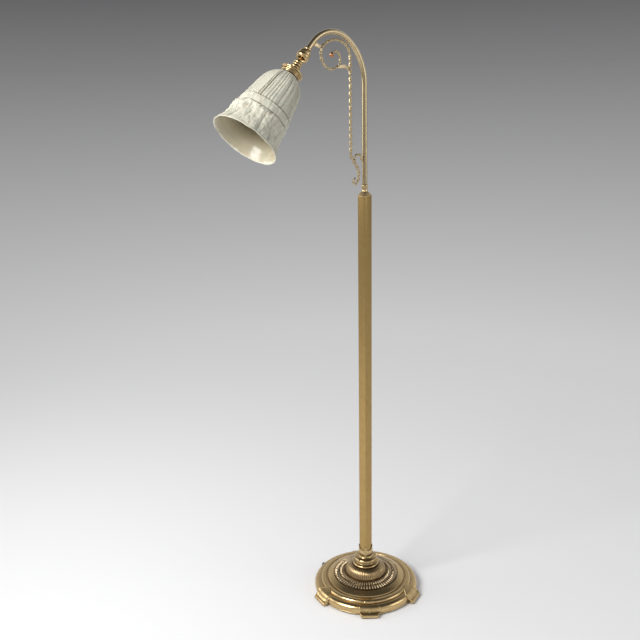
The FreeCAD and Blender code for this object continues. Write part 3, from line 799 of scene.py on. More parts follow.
@dataclass
class Foot:
    """One foot: a rolled toe, and a lug with raised edges that hugs the base's moulding.

    Attributes:
        angle: Where it stands round the base, degrees.
        form: How its lug lies on the moulding.
        toe: Radius, distance from the axis, height and length of the roll, mm.
        sole: Height of the flat under the roll, mm.
        edge: Width of the lug's raised edge, mm.
        slope: Width of the step from the edge down to the lug's face, mm.
        sink: How far the face of a bridged lug lies below its edge, mm.
        fitted_sink: How far the face of a fitted lug lies below its edge, mm.
        depth: How far the lug reaches into the base, towards the axis and downwards, mm.
        line: The section of a bridged lug, from the toe up to its tip.
        fitted_line: The section of a fitted lug, likewise.
        plan: Distance from the axis and half width of the lug, from its tip to the toe.
    """

    angle: float
    form: LugForm = LugForm.BRIDGED
    toe: tuple[float, float, float, float] = (6.0, 151.2, 7.1, 48.0)
    sole: float = 1.5
    edge: float = 2.4
    slope: float = 1.2
    sink: float = 1.2
    fitted_sink: float = 0.3
    depth: tuple[float, float] = (8.0, 3.5)
    line: Outline = field(default_factory=lambda: [
        (152.7, 7.0), (152.7, 13.0), (146.9, 17.5, 2.5), (134.0, 29.4), (127.0, 33.2, 0.5), (118.0, 36.2)])
    fitted_line: Outline = field(default_factory=lambda: [
        (152.7, 7.0), (152.7, 10.5, 0.8), (148.0, 13.0, -0.8), (145.2, 15.5, 4.6), (131.0, 28.2),
        (127.3, 28.2, 2.4), (119.0, 35.6), (118.0, 35.6)])
    plan: tuple[tuple[float, float], ...] = ((118.0, 4.5), (141.0, 29.0), (148.0, 29.0), (157.2, 22.0))

    def build(self, finishes: Finishes, number: int) -> None:
        """Builds and dresses the foot.

        Args:
            finishes: The lamp's finishes.
            number: Its number in the CAD model.
        """
        bm = self.roll()
        self.add_lug(bm)
        turn = Matrix.Rotation(math.radians(self.angle), 4, "Z")
        place_piece(bm, f"foot_cast_{number}", finishes.foot, Body.STAND, (f"foot_{number}",),
                    matrix=AXIS @ turn, angle=48.0)

    def roll(self) -> bmesh.types.BMesh:
        """The rolled toe, round at its ends and flat underneath.

        Returns:
            The mesh.
        """
        radius, reach, height, length = self.toe
        end, corner, bulge = length / 2, 2.2, 0.64
        bm = spun([(0, -end), (radius - corner, -end, bulge), (radius, corner - end),
                   (radius, end - corner, bulge), (radius - corner, end), (0, end)], 40, 0.5)
        lay = Matrix.Translation(Vector((reach, 0, height)) * MM) @ Matrix.Rotation(math.pi / 2, 4, "X")
        bmesh.ops.transform(bm, matrix=lay, verts=bm.verts)
        for vert in bm.verts:
            vert.co.z = max(vert.co.z, self.sole * MM)
        return bm

    def half_width(self, radius: float) -> float:
        """Half the lug's width.

        Args:
            radius: Distance from the column's axis, mm.

        Returns:
            The half width there, mm.
        """
        for (r0, w0), (r1, w1) in zip(self.plan, self.plan[1:]):
            if radius <= r1:
                return w0 + (w1 - w0) * max(0.0, radius - r0) / (r1 - r0)
        return self.plan[-1][1]

    def add_lug(self, bm: bmesh.types.BMesh) -> None:
        """Adds the lug: its face is laid out row by row and then thickened towards the base.

        Args:
            bm: The mesh of the foot.
        """
        fitted = self.form is LugForm.FITTED
        rows = chain(self.fitted_line if fitted else self.line, 1.2)
        sink = self.fitted_sink if fitted else self.sink
        grid = []
        for k, point in enumerate(rows):
            ahead = rows[min(k + 1, len(rows) - 1)] - rows[max(k - 1, 0)]
            out = Vector((ahead.z, 0.0, -ahead.x)).normalized() * MM
            half = self.half_width(point.x / MM)
            inner = max(0.4, half - self.edge - self.slope)
            steps = [(half, 0.5), (half - 0.7, 0.0), (half - self.edge, 0.0), (inner, sink),
                     (inner * 0.66, sink), (inner * 0.33, sink)]
            steps += [(0.0, sink)] + [(-offset, drop) for offset, drop in reversed(steps)]
            row = []
            for offset, drop in steps:
                spot = point - out * drop
                turn = Matrix.Rotation(offset * MM / point.x, 3, "Z")
                row.append(bm.verts.new(turn @ spot))
            grid.append(row)
        faces = []
        for low, high in zip(grid, grid[1:]):
            for k in range(len(low) - 1):
                faces.append(bm.faces.new((low[k], low[k + 1], high[k + 1], high[k])))
        made = bmesh.ops.extrude_face_region(bm, geom=faces, use_keep_orig=True)["geom"]
        inwards, down = self.depth
        for vert in (g for g in made if isinstance(g, bmesh.types.BMVert)):
            radius = math.hypot(vert.co.x, vert.co.y)
            scale = (radius - inwards * MM) / radius
            vert.co = Vector((vert.co.x * scale, vert.co.y * scale, vert.co.z - down * MM))


@dataclass
class Base:
    """The round stepped base and what stands on it.

    Attributes:
        reeds: Reeds in each row of the disc.
        rows: Distance from the axis, height, half length and half width of each row's reeds, mm.
        reed_rise: How far a reed stands above its middle, mm.
        disc_z: Seat of the disc, mm.
        disc_slope: Fall and run of the disc's top, mm.
        flutes: Flutes of the dome.
        flute_depth: Depth of a flute, mm.
        dome_z: Foot and top of the dome, mm.
        foot_angles: Where the feet stand round the base, degrees.
        fitted_feet: Numbers of the feet whose lugs are fitted to the moulding, the front and rear ones.
        shell: Outline of the shell.
        bush: Outline of the flex's bush, along its own axis from the column's axis outwards.
        bush_angle: Where the bush stands round the base, degrees.
        bush_height: Height of its middle, mm.
    """

    reeds: int = 68
    rows: tuple[tuple[float, float, float, float], ...] = (
        (81.4, 47.2, 7.4, 2.5), (67.6, 50.4, 6.6, 2.05))
    reed_rise: float = 2.9
    disc_z: float = 41.5
    disc_slope: tuple[float, float] = (3.2, 13.0)
    flutes: int = 60
    flute_depth: float = 1.6
    dome_z: tuple[float, float] = (52.0, 75.5)
    foot_angles: tuple[float, ...] = (49.0, 169.0, 229.0, 289.0)
    fitted_feet: tuple[int, ...] = (1, 3)
    shell: Outline = field(default_factory=lambda: [
        (0, 41.4), (90.0, 41.4), (90.6, 43.3), (91.4, 43.5, 0.5), (107, 37.0), (108.4, 33.4), (109.8, 33.2),
        (111.2, 33.4), (112, 34.6, -0.2), (112.8, 35.0), (119, 35.0, 2.15), (126.4, 27.8), (131, 27.5, 6.9),
        (142.6, 7.4), (141, 7.25, 1.9), (141, 3.0), (137, 3.0), (137, 18.0), (122, 24.0), (0, 24.0)])
    bush: Outline = field(default_factory=lambda: [
        (3.5, 133.0), (6.0, 133.0), (6.0, 137.0), (4.5, 137.0), (4.5, 142.0), (6.2, 142.0), (6.2, 148.2, 0.5),
        (4.8, 149.5), (3.5, 149.2), (3.5, 133.0)])
    bush_angle: float = 102.3
    bush_height: float = 14.0

    def build(self, finishes: Finishes) -> None:
        """Builds and dresses the base.

        Args:
            finishes: The lamp's finishes.
        """
        place_piece(spun(self.reversed_shell(), 256), "shell", finishes.cast, Body.STAND, ("base_shell",))
        disc = place_piece(self.disc(), "gadroon_disc", finishes.ground, Body.STAND, ("reeded_disc",))
        disc.data.materials.append(finishes.reed)
        place_piece(self.dome(), "dome", finishes.relief, Body.STAND, ("fluted_dome",))
        ring: Outline = [(0, 75.5), (34, 75.5), (34, 76.4, 3.2), (34, 82.8), (31, 83.4, -0.9), (29.5, 86),
                         (0, 86)]
        place_piece(spun(ring), "bead_ring", finishes.turned, Body.STAND, ("column_ring",))
        cushion: Outline = [(0, 86), (29.5, 86), (28, 88.4), (28, 89.4, 4.0), (28.5, 97.6), (26, 98.6, -1.6),
                            (19.5, 102.4), (19, 104), (0, 104)]
        place_piece(spun(cushion), "cushion", finishes.turned, Body.STAND, ("cushion_ring",))
        for number, angle in enumerate(self.foot_angles, 1):
            form = LugForm.FITTED if number in self.fitted_feet else LugForm.BRIDGED
            Foot(angle, form).build(finishes, number)
        bm = merged_copy("column_socket")
        round_edges(bm, 0.4)
        place_piece(bm, "socket", finishes.turned, Body.STAND, ("column_socket",))
        place_piece(spun(self.bush, 48, 0.4), "bush", finishes.rubber, Body.STAND, ("cord_bush",),
                    AXIS @ self.bush_place())

    def bush_place(self) -> Matrix:
        """The bush's frame, at the left rear.

        Returns:
            The matrix that points its Z out through the side wall.
        """
        turn = Matrix.Rotation(math.radians(self.bush_angle), 4, "Z")
        lift = Matrix.Translation((0, 0, self.bush_height * MM))
        return turn @ lift @ Matrix.Rotation(math.pi / 2, 4, "Y")

    def reversed_shell(self) -> Outline:
        """The shell's outline travelled the other way, as chain() takes its arcs.

        Returns:
            The corners, each with the bulge of the arc that now follows it.
        """
        forward = self.shell
        back: Outline = []
        for k in range(len(forward) - 1, -1, -1):
            bulge = forward[k - 1][2] if k > 0 and len(forward[k - 1]) > 2 else 0.0
            back.append((forward[k][0], forward[k][1], bulge))
        return back

    def disc(self) -> bmesh.types.BMesh:
        """The disc with two rows of rounded reeds.

        Returns:
            The mesh.
        """
        top = self.dome_z[0]
        bm = spun([(0, self.disc_z), (87.6, self.disc_z), (88.4, 44.4), (86.0, 45.6), (75.5, 48.6),
                   (74.5, 47.6), (73.5, 48.8), (62.0, 51.6), (59.0, top), (0, top)])
        slope = math.atan2(*self.disc_slope)
        for radius, height, length, width in self.rows:
            for k in range(self.reeds):
                reed = bmesh.ops.create_uvsphere(bm, u_segments=8, v_segments=6, radius=MM)
                tilt = Matrix.Rotation(slope, 4, "Y")
                size = Matrix.Diagonal((length, width, self.reed_rise, 1.0))
                spot = Matrix.Translation(Vector((radius, 0, height)) * MM)
                turn = Matrix.Rotation(TURN * k / self.reeds, 4, "Z")
                bmesh.ops.transform(bm, matrix=turn @ spot @ tilt @ size, verts=reed["verts"])
                for face in {face for vert in reed["verts"] for face in vert.link_faces}:
                    face.material_index = 1
        return bm

    def dome(self) -> bmesh.types.BMesh:
        """The bell-shaped dome with flutes that fade towards its top.

        Returns:
            The mesh.
        """
        foot, top = self.dome_z
        bm = spun([(0, foot), (56.7, foot), (56.7, 54.0, 4.3), (38.5, top), (0, top)], 6 * self.flutes, 0.9)
        start, end = foot + 0.5, top - 1.0
        for vert in bm.verts:
            radius = math.hypot(vert.co.x, vert.co.y) / MM
            height = vert.co.z / MM
            if radius < 39 or height < start:
                continue
            fade = max(0.0, min(1.0, (end - height) / 12.0)) * min(1.0, (height - start) / 3.0)
            wave = abs(math.sin(math.atan2(vert.co.y, vert.co.x) * self.flutes / 2))
            scale = 1.0 - (1.0 - wave) * self.flute_depth * fade / radius
            vert.co.x *= scale
            vert.co.y *= scale
        return bm


# ----------------------------------------------------------------------------- column


@dataclass
class Column:
    """The square column, its cap and the collar on it.

    Attributes:
        side: Side of the square, mm.
        foot: Height of its lower end, mm.
        top: Height of its upper end, mm.
        corner: Rounding of its corners, mm.
    """

    side: float = 25.0
    foot: float = 106.0
    top: float = 1112.5
    corner: float = 1.4

    def build(self, finishes: Finishes) -> None:
        """Builds and dresses the column.

        Args:
            finishes: The lamp's finishes.
        """
        bm = bmesh.new()
        bmesh.ops.create_cube(bm, size=1.0)
        size = Matrix.Diagonal((self.side * MM, self.side * MM, (self.top - self.foot) * MM, 1.0))
        middle = Matrix.Translation((0, 0, (self.top + self.foot) / 2 * MM))
        bmesh.ops.transform(bm, matrix=middle @ size, verts=bm.verts)
        upright = [e for e in bm.edges if abs(e.verts[0].co.z - e.verts[1].co.z) > self.side * MM]
        bmesh.ops.bevel(bm, geom=upright, offset=self.corner * MM, affect="EDGES", segments=4, profile=0.5,
                        material=-1)
        place_piece(bm, "column", finishes.column, Body.STAND, ("column_tube",), angle=60.0)
        bm = merged_copy("column_cap")
        round_edges(bm, 0.35)
        place_piece(bm, "cap", finishes.turned, Body.STAND, ("column_cap",))


# ----------------------------------------------------------------------------- arm


@dataclass
class Arm:
    """The crook tube, its collar and the twisted scroll. Places in the arm's plane are (u, z) in mm.

    Attributes:
        tube_r: Radius of the tube.
        foot: Height where the tube starts.
        spring: Height where its bend starts.
        bend: Radius of the first and of the second bend.
        turn: Angle of the first bend, degrees.
        drop: Fall of the end below level, degrees.
        run: Straight length at the end.
        bar_u: Distance of the straight bar from the column's axis.
        bar: Width and thickness of the twisted flat bar.
        pitch: Length of one twist.
        facets: Sections of the bar in one twist.
        curl_scale: Scale of the curl's section against the bar's.
        berry_r: Radius of the berry in the volute's eye.
        foot_s: The bar's path from its lower end up to the straight length.
        curl: The curl's path, from the bar to its own end.
        volute: The ends of the volute's quarter turns, from the straight length to the eye.
    """

    tube_r: float = 6.5
    foot: float = 1136.0
    spring: float = 1378.0
    bend: tuple[float, float] = (125.0, 85.0)
    turn: float = 59.0
    drop: float = 45.0
    run: float = 20.0
    bar_u: float = 46.8
    bar: tuple[float, float] = (8.0, 5.3)
    pitch: float = 32.8
    facets: int = 32
    curl_scale: float = 0.8
    berry_r: float = 5.6
    foot_s: list[tuple[float, float]] = field(default_factory=lambda: [
        (31.6, 1160.0), (39.4, 1153.5), (31.7, 1144.5), (22.0, 1156.6), (22.0, 1178.5), (38.0, 1201.5),
        (46.8, 1216.0), (46.8, 1228.0)])
    curl: list[tuple[float, float]] = field(default_factory=lambda: [
        (35.5, 1197.0), (34.5, 1207.0), (26.0, 1216.0), (15.0, 1213.0), (10.5, 1203.5), (4.0, 1194.0)])
    volute: list[tuple[float, float]] = field(default_factory=lambda: [
        (46.8, 1441.0), (94.4, 1480.4), (138.6, 1450.0), (106.0, 1416.0), (79.0, 1437.0), (94.0, 1455.4),
        (105.5, 1447.0)])

    def spot(self, u: float, z: float) -> Vector:
        """A place of the arm's plane.

        Args:
            u: Distance from the column's axis, mm.
            z: Height, mm.

        Returns:
            The place in metres.
        """
        return Vector((-u, 0.0, z)) * MM

    def end(self) -> Vector:
        """The end of the tube's centre line.

        Returns:
            The place in metres.
        """
        turn = math.radians(self.turn)
        drop = math.radians(self.drop)
        first, second = self.bend
        centre = (first * (1 - math.cos(turn)) + second * math.cos(turn),
                  self.spring + first * math.sin(turn) - second * math.sin(turn))
        u = centre[0] + second * math.cos(drop) + self.run * math.sin(drop)
        z = centre[1] + second * math.sin(drop) - self.run * math.cos(drop)
        return self.spot(u, z)

    def build(self, finishes: Finishes) -> None:
        """Builds and dresses the arm.

        Args:
            finishes: The lamp's finishes.
        """
        place_piece(self.tube(), "crook", finishes.tube, Body.ARM, ("arm_tube",), angle=60.0)
        collar: Outline = [(0, 1123.3), (7.3, 1123.3), (7.9, 1124.9), (7.4, 1126.3, -0.5), (7.4, 1134.6),
                           (7.4, 1135.4, 1.3), (7.4, 1141.0), (0, 1141.0)]
        place_piece(spun(collar, 64, 0.4), "collar", finishes.turned, Body.ARM, ("neck_collar",))
        bar = self.twisted(self.scroll_path(), self.drawn_out)
        place_piece(bar, "scroll", finishes.rope, Body.ARM, ("scroll_bar",), angle=70.0)
        curl = self.twisted(self.smooth_path(self.curl, 60), lambda share: self.curl_scale)
        place_piece(curl, "curl", finishes.rope, Body.ARM, ("foot_curl",), angle=70.0)
        berry = bmesh.new()
        bmesh.ops.create_uvsphere(berry, u_segments=32, v_segments=20, radius=self.berry_r * MM)
        place_piece(berry, "berry", finishes.berry, Body.ARM, ("scroll_berry",),
                    AXIS @ Matrix.Translation(self.spot(*self.volute[-1])))
        for node in ("upper_leaf", "lower_leaf"):
            bm = merged_copy(node)
            round_edges(bm, 0.6)
            place_piece(bm, f"{node}_cast", finishes.rope, Body.ARM, (node,))

    def tube(self) -> bmesh.types.BMesh:
        """The crook: a ring extruded up, spun through both bends and extruded along its end.

        Returns:
            The mesh.
        """
        bm = bmesh.new()
        ring = bmesh.ops.create_circle(bm, segments=40, radius=self.tube_r * MM)
        bmesh.ops.translate(bm, verts=ring["verts"], vec=(0, 0, self.foot * MM))
        edges = extend_ring(bm, list(bm.edges), Vector((0, 0, (self.spring - self.foot) * MM)))
        turn = math.radians(self.turn)
        first, second = self.bend
        edges = swing_ring(bm, edges, self.spot(first, self.spring), turn)
        centre = self.spot(first * (1 - math.cos(turn)) + second * math.cos(turn),
                           self.spring + (first - second) * math.sin(turn))
        edges = swing_ring(bm, edges, centre, math.radians(180 - self.drop) - turn)
        drop = math.radians(self.drop)
        extend_ring(bm, edges, Vector((-math.sin(drop), 0, -math.cos(drop))) * self.run * MM)
        bmesh.ops.holes_fill(bm, edges=[e for e in bm.edges if e.is_boundary])
        return bm

    def drawn_out(self, share: float) -> float:
        """The scale of the bar's section, which is drawn thinner towards both ends.

        Args:
            share: Share of the bar's length that has passed, from 0 to 1.

        Returns:
            The scale, 1 for the full section.
        """
        return min(1.0, 0.72 + 2.8 * share, 0.72 + 1.12 * (1 - share))

    def smooth_path(self, corners: list[tuple[float, float]], count: int) -> list[Vector]:
        """A smooth path through corners.

        Args:
            corners: Places in the arm's plane.
            count: Steps from one corner to the next.

        Returns:
            Points in metres.
        """
        ends = [corners[0], *corners, corners[-1]]
        path: list[Vector] = []
        for k in range(len(corners) - 1):
            p0, p1, p2, p3 = (Vector(self.spot(*ends[k + i])) for i in range(4))
            for step in range(count):
                t = step / count
                path.append(0.5 * (2 * p1 + (p2 - p0) * t + (2 * p0 - 5 * p1 + 4 * p2 - p3) * t * t
                                   + (3 * p1 - p0 - 3 * p2 + p3) * t ** 3))
        path.append(self.spot(*corners[-1]))
        return path

    def scroll_path(self) -> list[Vector]:
        """The whole bar's path: the foot's S, the straight length and the oval volute.

        Returns:
            Points in metres.
        """
        path = self.smooth_path(self.foot_s, 20)
        start, end = self.foot_s[-1][1], self.volute[0][1]
        straight, quarter = 120, 40
        for k in range(1, straight):
            path.append(self.spot(self.bar_u, start + (end - start) * k / straight))
        for turn, (a, b) in enumerate(zip(self.volute, self.volute[1:])):
            for k in range(quarter):
                angle = math.pi / 2 * k / quarter
                if turn % 2 == 0:
                    u = b[0] - (b[0] - a[0]) * math.cos(angle)
                    z = a[1] + (b[1] - a[1]) * math.sin(angle)
                else:
                    u = a[0] + (b[0] - a[0]) * math.sin(angle)
                    z = b[1] - (b[1] - a[1]) * math.cos(angle)
                path.append(self.spot(u, z))
        return path

    def twisted(self, path: list[Vector], taper: Callable[[float], float]) -> bmesh.types.BMesh:
        """A flat bar twisted about its own axis along a path.

        Args:
            path: The bar's centre line in metres.
            taper: Scale of the section, from the share of the length that has passed.

        Returns:
            The mesh.
        """
        lengths = [0.0]
        for a, b in zip(path, path[1:]):
            lengths.append(lengths[-1] + (b - a).length)
        total = lengths[-1]
        count = int(total / (self.pitch * MM) * self.facets)
        width, thickness = self.bar
        bm = bmesh.new()
        bmesh.ops.create_circle(bm, segments=16, radius=width / 2 * MM)
        for vert in bm.verts:
            share = abs(vert.co.x) / (width / 2 * MM)
            vert.co.y *= (thickness / width) * (0.72 + 0.62 * share ** 2)
        edges = list(bm.edges)
        previous = Matrix.Identity(4)
        index = 0
        for k in range(count + 1):
            along = total * k / count
            while index < len(lengths) - 2 and lengths[index + 1] < along:
                index += 1
            part = (along - lengths[index]) / max(1e-9, lengths[index + 1] - lengths[index])
            here = path[index].lerp(path[index + 1], part)
            low = path[max(0, index - 1)]
            high = path[min(len(path) - 1, index + 2)]
            tangent = (high - low).normalized()
            across = tangent.cross(Vector((0, 1, 0))).normalized()
            turn = Matrix((across, Vector((0, 1, 0)), tangent)).transposed().to_4x4()
            spin = Matrix.Rotation(TURN * along / (self.pitch * MM), 4, "Z")
            size = Matrix.Scale(taper(k / count), 4)
            now = Matrix.Translation(here) @ turn @ spin @ size
            if k:
                made = bmesh.ops.extrude_edge_only(bm, edges=edges)["geom"]
                edges = [g for g in made if isinstance(g, bmesh.types.BMEdge) and g.is_boundary]
            verts = list({v for e in edges for v in e.verts})
            bmesh.ops.transform(bm, matrix=now @ previous.inverted(), verts=verts)
            previous = now
        bmesh.ops.holes_fill(bm, edges=[e for e in bm.edges if e.is_boundary])
        return bm


# ----------------------------------------------------------------------------- ball joint and shade


@dataclass
class Head:
    """The ball joint, the stacked rings, the gallery and the bell shade, along the arm's end axis.

    Attributes:
        place: The matrix of the end axis.
        neck_r: Radius of the shade's neck, mm.
        wall: Thickness of the shade, mm.
        belt: Start and end of the belt along the axis, mm.
        rim_s: The rim's distance along the axis, mm.
        rim_r: The rim's radius, mm.
        lip: Thickness of the rim, mm.
        outer_edge: How much of the rim's inside still has the outer skin, mm along the axis.
        segments: Steps round the shade.
        grooves: Sets of pleats: how many, their depth in mm, their sharpness and their start.
        crease: Depth of the creases beside the belt, how much it varies, and their width, mm.
    """

    place: Matrix
    neck_r: float = 20.3
    wall: float = 3.2
    belt: tuple[float, float] = (176.8, 198.2)
    rim_s: float = 263.5
    rim_r: float = 80.6
    lip: float = 4.6
    outer_edge: float = 4.2
    segments: int = 360
    grooves: tuple[tuple[int, float, float, float], ...] = (
        (16, 2.9, 3.6, 1.0), (30, 2.3, 3.0, 3.0), (46, 1.9, 2.2, 6.0))
    crease: tuple[float, float, float] = (2.3, 1.4, 1.15)

    def build(self, finishes: Finishes) -> None:
        """Builds and dresses the head.

        Args:
            finishes: The lamp's finishes.
        """
        turned = finishes.turned
        place_piece(spun([(5.5, -3.4), (7.3, -3.4, 1.5), (7.3, 3.0), (5.5, 3.0), (5.5, -3.4)], 96, 0.4),
                    "end_bead", turned, Body.ARM, ("arm_end_ring",), matrix=self.place)
        cup: Outline = [(3.5, 3.0), (7.6, 3.0, 2.4), (13.6, 14.8), (14.0, 15.6, 1.2), (14.0, 24.4),
                        (13.6, 27.0), (12.4, 27.0), (12.4, 7.4), (3.5, 7.4), (3.5, 3.0)]
        place_piece(spun(cup, 96, 0.4), "cup", turned, Body.ARM, ("joint_cup",), matrix=self.place)
        neck: Outline = [(4.6, 36), (8.0, 36), (8.8, 37.6, 1.6), (8.8, 42.6), (8.4, 43.4, 2.3), (8.4, 49.4),
                         (8.6, 50.2, 2.7), (8.6, 56.6), (9.4, 57.4, -1.0), (12.6, 61.5), (4.6, 61.5),
                         (4.6, 36)]
        place_piece(spun(neck, 96, 0.4), "neck_stack", turned, Body.HEAD, ("neck_rings",),
                    matrix=self.place)
        gallery: Outline = [(4.6, 61.5), (14, 61.5, 1.6), (24.4, 64.4, 2.4), (24.6, 69.0, -0.8),
                            (23.4, 73.0, 1.2), (23.0, 76.6, 0.8), (21.8, 79.4), (20.4, 79.4), (20.4, 63.6),
                            (4.6, 63.6), (4.6, 61.5)]
        place_piece(spun(gallery, 128, 0.4), "bun_gallery", turned, Body.HEAD, ("gallery",),
                    matrix=self.place)
        shade = place_piece(self.shade(), "shade", finishes.glass, Body.HEAD, ("bell_shade",),
                            self.place, 75.0)
        shade.data.materials.append(finishes.lining)
        self.line_inside(shade.data)

    def outline(self, inset: float) -> Outline:
        """The shade's line from neck to rim, set in from the outer one.

        Args:
            inset: Distance in mm.

        Returns:
            The corners.
        """
        n = self.neck_r - inset
        return [(n, 63.6), (n, 79.5 + 1.2 * inset, -0.6), (24.1 - 0.8 * inset, 81.6 + 0.8 * inset, 4.0),
                (48.3 - 0.9 * inset, 118.0 + 0.3 * inset, 0.4), (59.0 - inset, 176.5), (59.8 - inset, 177.2),
                (61.8 - inset, 197.5), (63.4 - inset, 199.0, 1.2), (65.0 - inset, 213.0, -1.8),
                (71.3 - inset, 243.0, -0.4)]

    def shade(self) -> bmesh.types.BMesh:
        """The bell: pleats above the belt, draped folds below it, and a smooth inside.

        Returns:
            The mesh, made about Z with its neck down.
        """
        rim_in = self.rim_r - self.lip
        outer = split_chords(chain([*self.outline(0.0), (self.rim_r - 0.4, self.rim_s - 0.9)], 1.3), 1.35)
        lip = chain([(self.rim_r - 0.4, self.rim_s - 0.9, 1.0), (rim_in + 0.5, self.rim_s - 1.2)], 0.8)
        inner = split_chords(chain([*self.outline(self.wall), (rim_in, self.rim_s - 2.2)], 3.0), 4.0)
        bm = bmesh.new()
        ring = outer[:-1] + lip + list(reversed(inner)) + [outer[0]]
        geom = wire(bm, ring)
        bmesh.ops.spin(bm, geom=geom, cent=(0, 0, 0), axis=(0, 0, 1), angle=TURN, steps=self.segments,
                       use_merge=True)
        bmesh.ops.remove_doubles(bm, verts=bm.verts, dist=1e-6)
        inside = {}
        for point in inner:
            inside[round(point.z / MM)] = point.x / MM
        heights = sorted(inside)
        for vert in bm.verts:
            radius = math.hypot(vert.co.x, vert.co.y) / MM
            along = vert.co.z / MM
            angle = math.atan2(vert.co.y, vert.co.x)
            near = min(heights, key=lambda z: abs(z - along))
            vert.co.z -= self.rim_drop(angle, along) * MM
            if along < 78.0 or radius < inside[near] + self.wall * 0.6:
                continue
            scale = (radius + self.relief(angle, along)) / radius
            vert.co.x *= scale
            vert.co.y *= scale
        return bm

    def relief(self, angle: float, along: float) -> float:
        """How far the outer skin moves in or out, in mm.

        Args:
            angle: Angle round the axis.
            along: Distance along the axis, mm.

        Returns:
            The move; negative is inwards.
        """
        low, high = self.belt
        ring = Vector((math.cos(angle), math.sin(angle), 0.0))
        wander = 1.8 * noise.noise(ring * 1.7 + Vector((4.0, 0.0, 0.0)))
        if along < low + wander:
            move = self.pleats(angle, along, ring)
        elif along < high + wander:
            bumps = noise.noise(Vector((ring.x * 6, ring.y * 6, along * 0.10)))
            dents = noise.noise(Vector((ring.x * 16, ring.y * 16, along * 0.05)))
            move = 0.9 + 1.2 * bumps + 0.9 * dents
        else:
            move = self.drapes(angle, along, ring)
        mean, spread, width = self.crease
        depth = mean + spread * noise.noise(ring * 2.0 + Vector((0.0, 0.0, 9.0)))
        for edge in (low + wander, high + wander):
            move -= depth * math.exp(-((along - edge) / width) ** 2)
        return move

    def pleats(self, angle: float, along: float, ring: Vector) -> float:
        """The upright pleats between the neck and the belt: groups of sharp grooves of unequal depth.

        Args:
            angle: Angle round the axis.
            along: Distance along the axis, mm.
            ring: The angle as a place on a unit circle.

        Returns:
            The move of the skin in mm.
        """
        drift = angle + 0.07 * noise.noise(Vector((ring.x * 3, ring.y * 3, along * 0.012)))
        drift += 0.12 * noise.noise(ring * 2.6)
        grow = min(1.0, max(0.0, (along - 80.0) / 26.0))
        move = 0.9 * noise.noise(Vector((ring.x * 2.2, ring.y * 2.2, along * 0.02)))
        for count, depth, sharp, seed in self.grooves:
            groove = (1.0 - abs(math.sin(drift * count / 2 + seed))) ** sharp
            share = max(0.12, 0.6 + 0.9 * noise.noise(Vector((ring.x * 2.9, ring.y * 2.9, seed))))
            move -= depth * groove * share
        return 0.5 + move * (0.3 + 0.7 * grow)

    def drapes(self, angle: float, along: float, ring: Vector) -> float:
        """The crinkled skirt below the belt: slanting folds that open into upright ones at the rim.

        Args:
            angle: Angle round the axis.
            along: Distance along the axis, mm.
            ring: The angle as a place on a unit circle.

        Returns:
            The move of the skin in mm.
        """
        down = (along - self.belt[1]) / (self.rim_s - self.belt[1])
        slant = angle + 0.012 * (along - self.belt[1]) * noise.noise(ring * 1.9 + Vector((0.0, 0.0, 2.0)))
        upright = (1.0 - abs(math.sin(slant * 8.5 + 1.9 * noise.noise(ring * 2.2)))) ** 2.2
        cross = noise.noise(Vector((ring.x * 4.2, ring.y * 4.2, along * 0.075)))
        ridge = 1.0 - 2.0 * abs(noise.noise(Vector((ring.x * 5.5, ring.y * 5.5, along * 0.035 + 3.0))))
        crumple = noise.noise(Vector((ring.x * 17, ring.y * 17, along * 0.16)))
        near = max(0.0, 1.0 - down * 1.5)
        move = 1.3 * near + 2.9 * cross * (0.45 + near) + 1.9 * (ridge - 0.6) + 1.0 * crumple
        move -= 2.9 * upright * min(1.0, 2.2 * down)
        edge = min(1.0, (1.0 - down) / 0.12)
        return move * edge + (1.0 - edge) * (0.7 * noise.noise(ring * 5.0) - 0.8)

    def rim_drop(self, angle: float, along: float) -> float:
        """How far the rim steps back along the axis, which makes its edge wavy.

        Args:
            angle: Angle round the axis.
            along: Distance along the axis, mm.

        Returns:
            The step in mm.
        """
        near = max(0.0, 1.0 - (self.rim_s - along) / 14.0)
        ring = Vector((math.cos(angle), math.sin(angle), 5.0))
        return near * (1.0 + 1.3 * noise.noise(Vector((ring.x * 3.4, ring.y * 3.4, 5.0))))

    def line_inside(self, mesh: bpy.types.Mesh) -> None:
        """Gives the second material to the faces that look towards the axis.

        Args:
            mesh: The finished shade.
        """
        back = self.place.inverted()
        turn = back.to_3x3()
        rim = (self.rim_s - self.outer_edge) * MM
        for face in mesh.polygons:
            centre = back @ face.center
            normal = turn @ face.normal
            if normal.x * centre.x + normal.y * centre.y < 0 and centre.z < rim:
                face.material_index = 1


# ----------------------------------------------------------------------------- hidden parts


class Fittings:
    """The CAD nodes that keep their own solids, with a finish each."""

    def build(self, finishes: Finishes) -> None:
        """Dresses the nodes.

        Args:
            finishes: The lamp's finishes.
        """
        steel = ("foot_screws", "plate_screws", "tie_washer", "tie_nut", "tie_rod", "base_plate",
                 "column_foot_plug", "spigot_washer", "spigot_nut", "swivel_spigot", "holder_nipple")
        kinds = {
            "base_weight": finishes.iron, "foot_pads": finishes.felt, "swivel_washer": finishes.fibre,
            "lampholder": finishes.bakelite, "ball_stem": finishes.turned,
            "shade_ring": finishes.turned, "cup_keeper": finishes.cast, "ball_seat": finishes.cast,
            **dict.fromkeys(steel, finishes.steel),
        }
        for name, material in kinds.items():
            mesh = frame["nodes"][name].data
            mesh.materials.clear()
            mesh.materials.append(material)
            LOG.info("%s: CAD solid with %s", name, material.name)


# ----------------------------------------------------------------------------- studio


